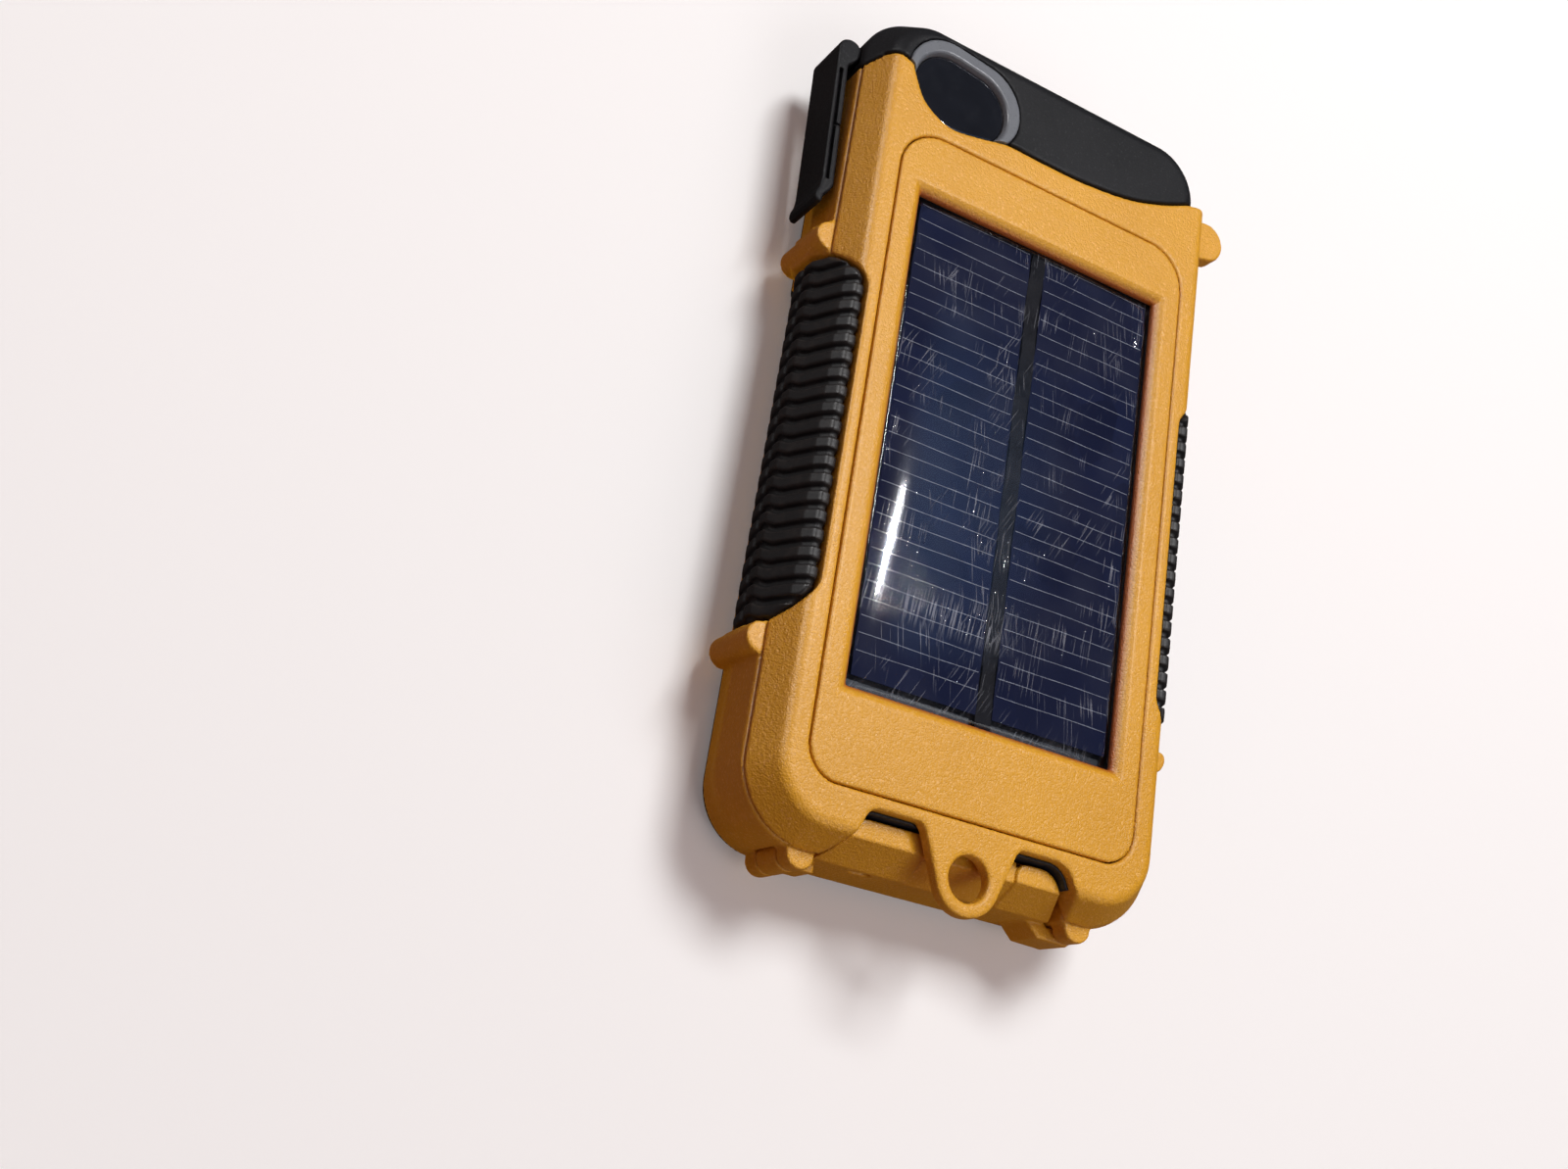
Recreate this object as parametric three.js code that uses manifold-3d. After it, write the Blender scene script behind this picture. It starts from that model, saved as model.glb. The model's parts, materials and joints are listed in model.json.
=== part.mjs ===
// Rugged battery case for a pocket phone, with a solar panel on its back.
//
// Millimetres, +Z up. The case lies on its front bezel with the solar panel up, +Y towards the
// camera window and +X to the right of somebody who looks at the panel. Inside this file x and y
// are measured from the centre of the solar window and z from the front rest plane; the group at
// the end shifts everything so that the origin is the centre of the footprint.
//
// Moving pieces: the black top lid turns on a pin at the upper right, the latch lever turns on the
// lid's left side, the port door turns on a pin at the lower left, and five buttons travel.

import * as THREE from 'three';
import { mergeVertices } from 'three/addons/utils/BufferGeometryUtils.js';
import Module from 'manifold-3d';

const wasm = await Module();
wasm.setup();

// ---------------------------------------------------------------------------------------------
// Driving dimensions
// ---------------------------------------------------------------------------------------------

const THICKNESS = 22;             // front rest plane to the back face
const SEAM_Z = 16.4;              // where the back shell meets the front shell
const BEZEL_Z = 2.2;              // thickness of the black front bezel
const FLAP_Z = 19.6;              // the lid's flap lies over the back shell's ledge here
const GAP = 0.3;                  // clearance between pieces that are shaped by each other
const FIT = 0.1;                  // clearance between pieces that rest on each other

const FACE_X = 31.5;              // half width of the flat back face
const SIDE_X = 35.05;             // half width at the seam
const FRONT_X = 32.6;             // half width on the rest plane
const BOTTOM_Y = -63.6;
const TOP_Y = 73.2;
const SPLIT_Y = 61.45;            // the lid ends here and the housing begins
const LID_RIGHT_INSET = 2.7;      // the lid is narrower than the housing on its right

const BAY = { x: 29.45, bottom: -45.6, top: 70.45, front: 2.65, back: 12.1 };
const CHAMBER_X = 30.1;           // half width of the electronics chamber behind the tray
const CHAMBER_BOTTOM = -55.4;
const PORT_WALL_Y = -57;          // outside of the wall that the port door covers

const WINDOW = { x: 24.6, y: 41.6, slope: 1.25 };
const PLATE = { x: 27.9, bottom: -54.4, top: 50.7, floor: 20.3 };
const PANEL = { x: 25.2, y: 42.2, floor: 17.6, slab: 18.8, rim: 19.75 };

const RING = { x: -18.4, y: 61.2, straight: 6.4, radius: 7.6, turn: -7 };
const LENS = { x: -18.95, y: 60, straight: 4.8, radius: 6.3, turn: -7 };
const TUNNEL = { x: -18.95, y: 60.3, straight: 4.8, radius: 5.2, turn: -7 };
const LENS_POCKET_Z = 20.25;

const GRIP = { inner: 31.2, top: 30.5, outer: 36.3, low: -33.2, high: 26.5, slant: 3, fillet: 4, rib: 2.85 };
const BOSS = { radius: 2.4, bottom: 4.2, leftHigh: 29.65, leftLow: -35.8, rightLow: -34.5, footX: 23.7 };

const LID_PIN = { x: 37.4, y: 61.2, radius: 1, knuckle: 3.7, barrel: 2.9 };
const LATCH_PIN = { x: -36.6, y: 64.3, radius: 0.6, barrel: 2.1, lug: 1.2 };
const DOOR_PIN = { x: -23.7, y: -63.7, radius: 0.6, barrel: 2.3 };
const KNUCKLES = { low: [3.6, 7], middle: [7.3, 12.7], high: [13, SEAM_Z - FIT], boreEnd: 15.6 };

const LATCH = { low: 35.5, inner: [-36.5, -35.5], outer: [-38.6, -37.7], tip: -38.3, bottom: 6.3, top: 15.2 };
const LOOP = { y: -62.4, hole: 3.3, outer: 5.4, bottom: 19.7 };
const DOOR = { left: -21, right: 19.2, flare: 1.2, top: 16.2, tabTop: 19, bottom: 2.6, wall: 1.8 };
const NOTCH_SLOPE = [[-18.6, -60.2], [-20.2, -62.4], [-21.4, -63.6]];

const HOME_BUTTON = { y: -36.5, radius: 5.3 };
const VOLUME_Y = { volume_up_button: 48.2, volume_down_button: 38 };
const SIDE_BUTTON_Z = 7.4;
const POWER_BUTTON_X = -17;
const CHECK_BUTTON_X = -20;
const LIGHT_X = [17, 20, 23, 26];
const CHIN_Y = -51.5;
const LEAD_RADIUS = 0.45;
const TRAY_SCREWS = [[-27.1, 53], [27.1, 53], [-27.1, 2], [27.1, 2], [-27.1, -43.5], [27.1, -43.5]];

const FAR = 100;                  // further out than any surface, for cutting tools
const CORNER_STEPS = 5;           // segments in a quarter turn of an outline
const CIRCLE_STEPS = 20;

// ---------------------------------------------------------------------------------------------
// Outlines: arrays of Vector2, counter-clockwise
// ---------------------------------------------------------------------------------------------

const point = (x, y) => new THREE.Vector2(x, y);
const radians = THREE.MathUtils.degToRad;

function arc(x, y, radius, from, to, steps = CORNER_STEPS) {
  return Array.from({ length: steps + 1 }, (_, i) => {
    const angle = radians(from + ((to - from) * i) / steps);
    return point(x + radius * Math.cos(angle), y + radius * Math.sin(angle));
  });
}

function disc(x, y, radius, steps = CIRCLE_STEPS) {
  return arc(x, y, radius, 0, 360, steps).slice(0, steps);
}

function rect(x0, x1, y0, y1) {
  return [point(x0, y0), point(x1, y0), point(x1, y1), point(x0, y1)];
}

/** A rectangle whose two lower corners have radius low and whose two upper ones have radius high. */
function roundRect(x0, x1, y0, y1, low, high = low, steps = CORNER_STEPS) {
  return [
    ...arc(x0 + low, y0 + low, low, 180, 270, steps),
    ...arc(x1 - low, y0 + low, low, 270, 360, steps),
    ...arc(x1 - high, y1 - high, high, 0, 90, steps),
    ...arc(x0 + high, y1 - high, high, 90, 180, steps),
  ];
}

/** A round-ended slot outline around its own centre, grown by grow and turned by its own angle. */
function slot({ x, y, straight, radius, turn }, grow = 0, steps = 10) {
  const half = straight / 2;
  const outline = [
    ...arc(half, 0, radius + grow, -90, 90, steps),
    ...arc(-half, 0, radius + grow, 90, 270, steps),
  ];
  return outline.map((p) => p.rotateAround(point(0, 0), radians(turn)).add(point(x, y)));
}

/** The back shell's upper edge on the back face, left to right, moved up by raise. */
function shoulderCurve(raise = 0) {
  const leftShoulder = [point(-FACE_X - 8, 62.8), point(-30.9, 62.6), point(-28.9, 62.1)];
  const dip = new THREE.SplineCurve([
    point(-28.3, 61.6), point(-27.5, 59.75), point(-25.6, 56.4), point(-22.4, 54.3), point(-19.3, 53.7),
    point(-14.8, 54.45), point(-9.2, 55.7), point(-3.1, 55.6), point(6.15, 55.75), point(15.6, 56.95),
    point(22.7, 59.2), point(28.25, 61.7),
  ]).getPoints(26);
  const rightShoulder = [point(31.2, 62.3), point(FACE_X + 8, 62.3)];
  return [...leftShoulder, ...dip, ...rightShoulder].map((p) => point(p.x, p.y + raise));
}

const belowCurve = () => [
  point(FAR, -FAR), ...shoulderCurve().reverse(), point(-FAR, 62.8), point(-FAR, -FAR),
];
const aboveCurve = (raise) => [...shoulderCurve(raise), point(FAR, 62.6), point(FAR, FAR), point(-FAR, FAR),
  point(-FAR, 63.1)];

// ---------------------------------------------------------------------------------------------
// Solids
// ---------------------------------------------------------------------------------------------

function toSolid(geometry) {
  const bare = geometry.index ? geometry.clone() : geometry;
  bare.deleteAttribute('normal');
  bare.deleteAttribute('uv');
  const merged = mergeVertices(bare, 1e-5);
  return new wasm.Manifold(new wasm.Mesh({
    numProp: 3,
    vertProperties: new Float32Array(merged.attributes.position.array),
    triVerts: new Uint32Array(merged.index.array),
  }));
}

function toGeometry(solid) {
  const { vertProperties, triVerts } = solid.getMesh();
  const geometry = new THREE.BufferGeometry();
  geometry.setAttribute('position', new THREE.BufferAttribute(new Float32Array(vertProperties), 3));
  geometry.setIndex(new THREE.BufferAttribute(new Uint32Array(triVerts), 1));
  geometry.computeVertexNormals();
  return geometry;
}

function extrude(outline, depth, holes) {
  const shape = new THREE.Shape(outline);
  shape.holes = holes.map((hole) => new THREE.Path(hole));
  return new THREE.ExtrudeGeometry(shape, { depth, bevelEnabled: false });
}

/** An outline in x and y, from z0 to z1. */
function prism(outline, z0, z1, holes = []) {
  return toSolid(extrude(outline, z1 - z0, holes).translate(0, 0, z0));
}

/** An outline in y and z, from x0 to x1. */
function prismX(outline, x0, x1) {
  const turn = new THREE.Matrix4().makeBasis(
    new THREE.Vector3(0, 1, 0), new THREE.Vector3(0, 0, 1), new THREE.Vector3(1, 0, 0));
  return toSolid(extrude(outline, x1 - x0, []).applyMatrix4(turn).translate(x0, 0, 0));
}

/** An outline in x and z, from y0 to y1. */
function prismY(outline, y0, y1, holes = []) {
  return toSolid(extrude(outline, y1 - y0, holes).rotateX(Math.PI / 2).translate(0, y1, 0));
}

function box(x0, x1, y0, y1, z0, z1) {
  const geometry = new THREE.BoxGeometry(x1 - x0, y1 - y0, z1 - z0);
  return toSolid(geometry.translate((x0 + x1) / 2, (y0 + y1) / 2, (z0 + z1) / 2));
}

const post = (x, y, radius, z0, z1, steps) => prism(disc(x, y, radius, steps), z0, z1);
const join = (...solids) => solids.reduce((sum, next) => sum.add(next));
const cut = (body, ...tools) => tools.reduce((rest, tool) => rest.subtract(tool), body);

/** A solid skinned over convex outlines with equal point counts, one at each level. */
function loft(levels) {
  const count = levels[0].outline.length;
  const positions = levels.flatMap(({ z, outline }) => outline.flatMap((p) => [p.x, p.y, z]));
  const index = [];
  for (let level = 0; level + 1 < levels.length; level += 1) {
    for (let i = 0; i < count; i += 1) {
      const a = level * count + i;
      const b = level * count + ((i + 1) % count);
      index.push(a, b, b + count, a, b + count, a + count);
    }
  }
  const top = (levels.length - 1) * count;
  for (let i = 1; i + 1 < count; i += 1) {
    index.push(0, i + 1, i);
    index.push(top, top + i, top + i + 1);
  }
  const geometry = new THREE.BufferGeometry();
  geometry.setAttribute('position', new THREE.Float32BufferAttribute(positions, 3));
  geometry.setIndex(index);
  return toSolid(geometry);
}

/** A round wire along a smooth path. */
function wire(points, radius) {
  const path = new THREE.CatmullRomCurve3(points.map(([x, y, z]) => new THREE.Vector3(x, y, z)));
  const shape = new THREE.Shape(disc(0, 0, radius, 8));
  return toSolid(new THREE.ExtrudeGeometry(shape, { steps: 12, bevelEnabled: false, extrudePath: path }));
}

// ---------------------------------------------------------------------------------------------
// Materials
// ---------------------------------------------------------------------------------------------

const finish = (color, roughness, metalness = 0) =>
  new THREE.MeshStandardMaterial({ color, roughness, metalness });

const MATERIALS = {
  amber: finish(0xdc9c3a, 0.55),
  black: finish(0x1b1c20, 0.6),
  rubber: finish(0x141416, 0.75),
  seal: finish(0x20232b, 0.8),
  ring: finish(0x8d97a8, 0.35),
  lens: finish(0x07080c, 0.08),
  clear: finish(0x1a2340, 0.1),
  cell: finish(0x14204a, 0.3),
  dark: finish(0x08090d, 0.5),
  steel: finish(0xb9bcc0, 0.3, 1),
  battery: finish(0xa9adb2, 0.4, 0.6),
  board: finish(0x1d5a38, 0.5),
  led: finish(0xdfe8e2, 0.3),
  film: finish(0x7d848c, 0.15),
  red: finish(0xa82222, 0.6),
};

// ---------------------------------------------------------------------------------------------
// The outside form
// ---------------------------------------------------------------------------------------------

/** The outside surface of the case; rightInset narrows it on the right, as the lid is. */
function outsideForm(rightInset = 0) {
  const level = (z, x, bottom, top, low, high) => ({
    z, outline: roundRect(-x, x - rightInset, bottom, top, low, high),
  });
  return loft([
    level(0, FRONT_X, BOTTOM_Y + 2, TOP_Y - 2.6, 9, 9),
    level(2, FRONT_X + 1.1, BOTTOM_Y + 0.5, TOP_Y - 1.2, 9.5, 10),
    level(6, SIDE_X - 0.6, BOTTOM_Y, TOP_Y - 0.2, 11, 11),
    level(8, SIDE_X, BOTTOM_Y, TOP_Y, 11.5, 10),
    level(SEAM_Z, SIDE_X, BOTTOM_Y, TOP_Y, 11.5, 10),
    level(THICKNESS, FACE_X, BOTTOM_Y + 3.4, TOP_Y - 3, 8.5, 7.8),
  ]);
}

/** The grip's opening in the right flank: its ends slope in towards the back face. */
function gripOpening(grow) {
  const outline = (inset) => roundRect(
    GRIP.top - GAP - grow, FAR, GRIP.low - grow + inset, GRIP.high + grow - inset, GRIP.fillet);
  return join(
    prism(outline(0), 3.7 - grow, SEAM_Z),
    loft([
      { z: SEAM_Z, outline: outline(0) }, { z: THICKNESS, outline: outline(GRIP.slant) },
      { z: THICKNESS + 2, outline: outline(GRIP.slant) },
    ]));
}

/** The front is narrower between the ends of the grips. */
function gripWaist() {
  const outline = [
    point(31.6, -1), point(FAR, -1), point(FAR, 3.9), point(34.4, 3.9), point(31.6, 0),
  ];
  return prismY(outline, GRIP.low, GRIP.high);
}

const mirrorX = (solid) => solid.mirror([1, 0, 0]);

// ---------------------------------------------------------------------------------------------
// Solar panel and its bezel plate
// ---------------------------------------------------------------------------------------------

function solarBezel() {
  const plate = prism(roundRect(-PLATE.x, PLATE.x, PLATE.bottom, PLATE.top, 5, 7), PLATE.floor, THICKNESS);
  const level = (z, shrink) => ({
    z, outline: rect(shrink - WINDOW.x, WINDOW.x - shrink, shrink - WINDOW.y, WINDOW.y - shrink),
  });
  const window = loft([
    level(PLATE.floor - 1, WINDOW.slope), level(THICKNESS - 1.2, WINDOW.slope), level(THICKNESS, 0),
    level(THICKNESS + 1, 0),
  ]);
  return cut(plate, window);
}

function solarCover() {
  const slab = box(-PANEL.x, PANEL.x, -PANEL.y, PANEL.y, PANEL.slab, PANEL.rim);
  const level = (z, shrink, radius) => ({
    z, outline: roundRect(shrink - 23.2, 23.2 - shrink, shrink - 40.2, 40.2 - shrink, radius, radius, 3),
  });
  return join(slab, loft([
    level(PANEL.rim - 0.2, 0, 1), level(20.35, 0, 1), level(20.75, 0.6, 1.6), level(20.95, 2, 3),
    level(21.1, 6, 5),
  ]));
}

function solarGasket() {
  const outline = rect(-PANEL.x, PANEL.x, -PANEL.y, PANEL.y);
  const opening = rect(-23.6, 23.6, -40.6, 40.6).reverse();
  return prism(outline, PANEL.rim + 0.02, PLATE.floor - 0.03, [opening]);
}

const solarBacking = () => box(-PANEL.x, PANEL.x, -PANEL.y, PANEL.y, PANEL.floor, 18.4);
const solarCell = (x0, x1) => box(x0, x1, -39, 40.2, 18.45, 18.7);

// ---------------------------------------------------------------------------------------------
// Housing shells
// ---------------------------------------------------------------------------------------------

/** Plan of the two notches and the space between them, in front of the port door. */
function doorNotch() {
  return [
    point(-23, BOTTOM_Y - 5), point(21.5, BOTTOM_Y - 5), point(20.9, BOTTOM_Y), point(18.6, -59.9),
    ...arc(14.3, -60.4, 4, 20, 90, 3), ...arc(-15.6, -58.5, 2.1, 90, 150, 3),
    ...NOTCH_SLOPE.map(([x, y]) => point(x, y)),
  ];
}

/** The lanyard loop: a tongue of the back plate with an eye near its end. */
function lanyardLoop() {
  const outline = [
    point(9.6, -54.8), point(-9.6, -54.8), point(-9.4, -56.4), point(-8, -57.2), point(-6.5, -60.7),
    ...arc(0, LOOP.y, LOOP.outer, 200, 340, 12),
    point(6.4, -60.7), point(7.7, -57.2), point(8.9, -56.3),
  ];
  return cut(
    prism(outline, LOOP.bottom, THICKNESS),
    post(0, LOOP.y, LOOP.hole, LOOP.bottom - 1, THICKNESS + 1, 24));
}

/** The pocket in the notch's wall that holds the port gasket. */
const gasketPocket = () => box(-15.4, 14.4, -57, -55.6, SEAM_Z + 0.3, 19.4);

function backShell() {
  const slab = outsideForm().intersect(box(-FAR, FAR, -FAR, SPLIT_Y - 0.15, SEAM_Z + FIT, FLAP_Z));
  const upper = outsideForm().intersect(prism(belowCurve(), FLAP_Z, FAR));
  const strips = [-1, 1].map((side) => box(side * 27.9 - 1, side * 27.9 + 1, -39, 45, 0, 19.3));
  const posts = TRAY_SCREWS.map(([x, y]) => post(x, y, 2, 14.35, SEAM_Z + 1, 12));
  const screwHoles = TRAY_SCREWS.map(([x, y]) => post(x, y, 0.9, 0, 18.2, 10));
  const shell = cut(
    join(slab, upper),
    prism(doorNotch(), 0, FAR),
    gasketPocket(),
    prism(roundRect(-PLATE.x - 0.3, PLATE.x + 0.3, PLATE.bottom - 0.3, PLATE.top + 0.3, 5.3, 7.3),
      PLATE.floor - 0.05, FAR),
    box(-25.5, 25.5, -42.5, 42.5, PANEL.floor - 0.05, FAR),
    box(-23.4, 23.4, -40.4, 40.4, 0, FAR),
    box(-23, 23, -53.2, -45.2, 0, 19.3),
    ...strips,
    prism(slot(TUNNEL), 0, FLAP_Z),
    gripOpening(0),
    mirrorX(gripOpening(0)));
  return cut(join(shell, lanyardLoop(), ...posts), ...screwHoles);
}

/** A D-shaped pad that stands out of the flank along its whole depth. */
const flankBoss = (x, y) => post(x, y, BOSS.radius, BOSS.bottom, SEAM_Z - FIT, 16);

/** A raised block that guards one end of a grip. */
function gripGuard(y0, y1) {
  const outline = [
    point(33, 5), point(35.2, 5), point(36.6, 7), point(36.6, 12.6), point(35.2, SEAM_Z - FIT),
    point(33, SEAM_Z - FIT),
  ];
  return prismY(outline, y0, y1);
}

function hingeKnuckles() {
  const arm = [
    point(33.4, 56.8), point(SIDE_X, 56.8), point(38.6, 57.7), point(LID_PIN.x, LID_PIN.y),
    point(35.4, 61.2), point(33.4, 61.2),
  ];
  return [KNUCKLES.low, KNUCKLES.high].map(([z0, z1]) =>
    join(prism(arm, z0, z1), post(LID_PIN.x, LID_PIN.y, LID_PIN.knuckle, z0, z1, 24)));
}

/** The stepped pocket of one side button, cut with clearance. */
function volumePocket(y) {
  return join(
    prismX(roundRect(y - 3.8, y + 3.8, SIDE_BUTTON_Z - 2.1, SIDE_BUTTON_Z + 2.1, 2), 32.4, FAR),
    prismX(rect(y - 2.3, y + 2.3, SIDE_BUTTON_Z - 1.3, SIDE_BUTTON_Z + 1.3), BAY.x - 1, 33));
}

function doorRecess() {
  const plan = [
    point(-21.6, BOTTOM_Y - 5), point(DOOR.right + DOOR.flare + 1.3, BOTTOM_Y - 5),
    point(DOOR.right + 0.4, PORT_WALL_Y), point(-21.6, PORT_WALL_Y),
  ];
  return prism(plan, 0, FAR);
}

function frontShell() {
  const wall = outsideForm().intersect(
    box(-FAR, FAR, -FAR, SPLIT_Y - 0.15, BEZEL_Z + FIT, SEAM_Z - FIT));
  const outside = join(
    wall,
    flankBoss(-SIDE_X, BOSS.leftHigh), flankBoss(-SIDE_X, BOSS.leftLow), flankBoss(SIDE_X, BOSS.rightLow),
    post(BOSS.footX, BOTTOM_Y, BOSS.radius, 12.9, SEAM_Z - FIT, 16),
    gripGuard(26.9, 32.6), gripGuard(-36.2, -33.5),
    mirrorX(gripGuard(26.9, 32.6)), mirrorX(gripGuard(-36.2, -33.5)),
    ...hingeKnuckles(),
    post(DOOR_PIN.x, DOOR_PIN.y, DOOR_PIN.barrel, ...KNUCKLES.low, 16),
    post(DOOR_PIN.x, DOOR_PIN.y, DOOR_PIN.barrel, ...KNUCKLES.high, 16));
  const windowWall = box(GRIP.inner - 0.2, FAR, -FAR, FAR, 0, FAR);
  return cut(
    outside,
    box(-BAY.x, BAY.x, BAY.bottom, FAR, 0, BAY.back + 1),
    prism(roundRect(-CHAMBER_X, CHAMBER_X, CHAMBER_BOTTOM, FAR, 2, 1), BAY.back, FAR),
    box(-27.4, 27.4, CHAMBER_BOTTOM, -47.1, 3.7, BAY.back + 1),
    box(-12, 12, -48, BAY.bottom + 1, 5, 9),
    box(-4.4, 4.4, PORT_WALL_Y - 1, CHAMBER_BOTTOM + 1, 8.8, 13.2),
    doorRecess(),
    gripWaist(),
    mirrorX(gripWaist()),
    gripOpening(0).intersect(windowWall),
    mirrorX(gripOpening(0).intersect(windowWall)),
    ...Object.values(VOLUME_Y).map(volumePocket),
    box(-36, -34.05, 41.5, 45.2, 7, 13),
    post(LID_PIN.x, LID_PIN.y, LID_PIN.barrel + 0.4, 7, 13, 24),
    post(LID_PIN.x, LID_PIN.y, LID_PIN.radius + 0.05, 0, KNUCKLES.boreEnd, 16),
    post(DOOR_PIN.x, DOOR_PIN.y, DOOR_PIN.barrel + 0.4, 7, 13, 20),
    post(DOOR_PIN.x, DOOR_PIN.y, DOOR_PIN.radius + 0.05, 0, KNUCKLES.boreEnd, 12),
    post(CHECK_BUTTON_X, CHIN_Y, 1.3, 0, FAR, 12),
    ...LIGHT_X.map((x) => post(x, CHIN_Y, 0.95, 0, FAR, 10)));
}

function innerTray() {
  const plate = prism(roundRect(-29.8, 29.8, -46.3, 61, 3), BAY.back + 0.05, 13);
  const cups = TRAY_SCREWS.map(([x, y]) => post(x, y, 2.6, BAY.back + 0.05, 14.25, 12));
  const fence = prism(rect(-23.6, 23.6, -39.4, 41.4), 12.9, 14.2, [rect(-22.8, 22.8, -38.6, 40.6).reverse()]);
  const bores = TRAY_SCREWS.flatMap(([x, y]) => [post(x, y, 1.8, 0, 13.4, 12), post(x, y, 1, 0, 15, 10)]);
  const leadGate = box(-20, 20, -42, -38, 13.2, 15);
  return cut(join(plate, fence, ...cups), ...bores, leadGate, prism(slot(TUNNEL, 0.2), 0, FAR));
}

// ---------------------------------------------------------------------------------------------
// Front side
// ---------------------------------------------------------------------------------------------

function frontBezel() {
  const plate = outsideForm().intersect(box(-FAR, FAR, -FAR, SPLIT_Y - 0.15, -1, BEZEL_Z));
  const level = (z, shrink) => ({
    z, outline: roundRect(shrink - 26, 26 - shrink, -26.1 + shrink, 50.9 - shrink, 2.5, 2.5, 3),
  });
  const screen = loft([level(-1, 0), level(0, 0), level(1.2, 1), level(BEZEL_Z + 1, 1)]);
  const grooveOutline = roundRect(-28.3, 28.3, -44.7, 53.3, 3, 3, 3);
  const grooveInner = roundRect(-26.9, 26.9, -43.3, 51.9, 2, 2, 3).reverse();
  return cut(
    plate, screen, gripWaist(), mirrorX(gripWaist()),
    prism(grooveOutline, 1.55, BEZEL_Z + 1, [grooveInner]),
    post(0, HOME_BUTTON.y, HOME_BUTTON.radius + 0.3, -1, BEZEL_Z + 1, 24),
    post(CHECK_BUTTON_X, CHIN_Y, 2.6, -1, BEZEL_Z + 1, 16),
    ...LIGHT_X.map((x) => post(x, CHIN_Y, 0.95, -1, BEZEL_Z + 1, 10)));
}

function membraneGasket() {
  const outline = roundRect(-28.1, 28.1, -44.5, 53.1, 2.8, 2.8, 3);
  const opening = roundRect(-27.1, 27.1, -43.5, 52.1, 2.2, 2.2, 3).reverse();
  return prism(outline, 1.6, BEZEL_Z, [opening]);
}

const screenMembrane = () => prism(roundRect(-29.3, 29.3, -45.4, 61.1, 2, 2, 3), BEZEL_Z + FIT, BAY.front);

function homeButton() {
  return cut(
    post(0, 0, HOME_BUTTON.radius, 0.4, 1.6, 24),
    loft([
      { z: -0.1, outline: disc(0, 0, 4.2, 16) }, { z: 0.4, outline: disc(0, 0, 4, 16) },
      { z: 0.7, outline: disc(0, 0, 3, 16) },
    ]));
}

const checkButton = () => join(post(0, 0, 2.3, 0.4, 1.9, 16), post(0, 0, 1, 1.8, 11.4, 12));

function lightGuide() {
  const bar = box(LIGHT_X[0] - 1.2, LIGHT_X[3] + 1.2, CHIN_Y - 1.2, CHIN_Y + 1.2, 9.6, 11);
  return join(bar, ...LIGHT_X.map((x) => post(x, CHIN_Y, 0.75, 0.35, 10, 10)));
}

// ---------------------------------------------------------------------------------------------
// Electronics
// ---------------------------------------------------------------------------------------------

function batteryCell() {
  const level = (z, shrink) => ({
    z, outline: roundRect(shrink - 22.5, 22.5 - shrink, shrink - 38.2, 40.2 - shrink, 2.5, 2.5, 3),
  });
  return loft([level(13.15, 0.8), level(13.7, 0), level(16.6, 0), level(17.2, 0.8)]);
}

function usbSocket() {
  const shell = box(-3.9, 3.9, -56.9, -49.2, 9.2, 13.1);
  const mouth = box(-3.5, 3.5, -58, -50, 9.6, 12.7);
  const tongue = box(-2.7, 2.7, -56, -49.6, 10.8, 11.7);
  return join(cut(shell, mouth), tongue);
}

function dockConnector() {
  const base = box(-13.4, 13.4, -54.6, -47.3, 4.6, 8.6);
  const plug = prism(roundRect(-10.7, 10.7, -48, -40.8, 0.2, 0.6, 2), 5.7, 7.7);
  return join(base, plug);
}

// ---------------------------------------------------------------------------------------------
// Rubber grip (right side; the left one is its mirror image)
// ---------------------------------------------------------------------------------------------

/** The grip's section in x and z, its outside drawn back by draw. */
function gripSection(draw) {
  return [
    point(GRIP.inner, 4.2 + draw), point(34 - draw / 2, 4.2 + draw), point(GRIP.outer - draw, 8.4),
    point(GRIP.outer - draw, 13.6), point(33.4 - draw * 0.9, 20.2 - draw * 0.5),
    point(32 - draw * 0.7, 21.8 - draw * 0.7), point(GRIP.top, 21.6 - draw), point(GRIP.top, SEAM_Z + 0.35),
    point(GRIP.inner, SEAM_Z - 0.2),
  ];
}

function grip() {
  const low = GRIP.low + GAP;
  const high = GRIP.high - GAP;
  const count = Math.floor((high - low - 3) / GRIP.rib);
  const first = (low + high) / 2 - ((count - 1) * GRIP.rib) / 2;
  const ribs = Array.from({ length: count }, (_, i) => {
    const y = first + i * GRIP.rib;
    return prismY(gripSection(0), y - 0.95, y + 0.95);
  });
  const body = join(prismY(gripSection(0.9), low, high), ...ribs);
  return body.intersect(gripOpening(-GAP));
}

// ---------------------------------------------------------------------------------------------
// Top lid, latch and port door
// ---------------------------------------------------------------------------------------------

function lidRegion() {
  const edge = SPLIT_Y + 0.15;
  const overFlap = prism(aboveCurve(GAP), FLAP_Z + 0.2, FAR);
  const cap = box(-FAR, FAR, edge, FAR, -FAR, FLAP_Z - 0.2);
  const between = prism(aboveCurve(GAP), FLAP_Z - 1, FLAP_Z + 1)
    .intersect(box(-FAR, FAR, edge, FAR, -FAR, FAR));
  return join(overFlap, cap, between);
}

function lidBarrel() {
  const arm = [
    point(30.6, 61.7), point(35.6, 61.7), point(LID_PIN.x, LID_PIN.y), point(39.5, 63.2), point(33.6, 69.4),
    point(30.6, 69.4),
  ];
  return join(
    prism(arm, ...KNUCKLES.middle),
    post(LID_PIN.x, LID_PIN.y, LID_PIN.barrel, ...KNUCKLES.middle, 20));
}

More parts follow.
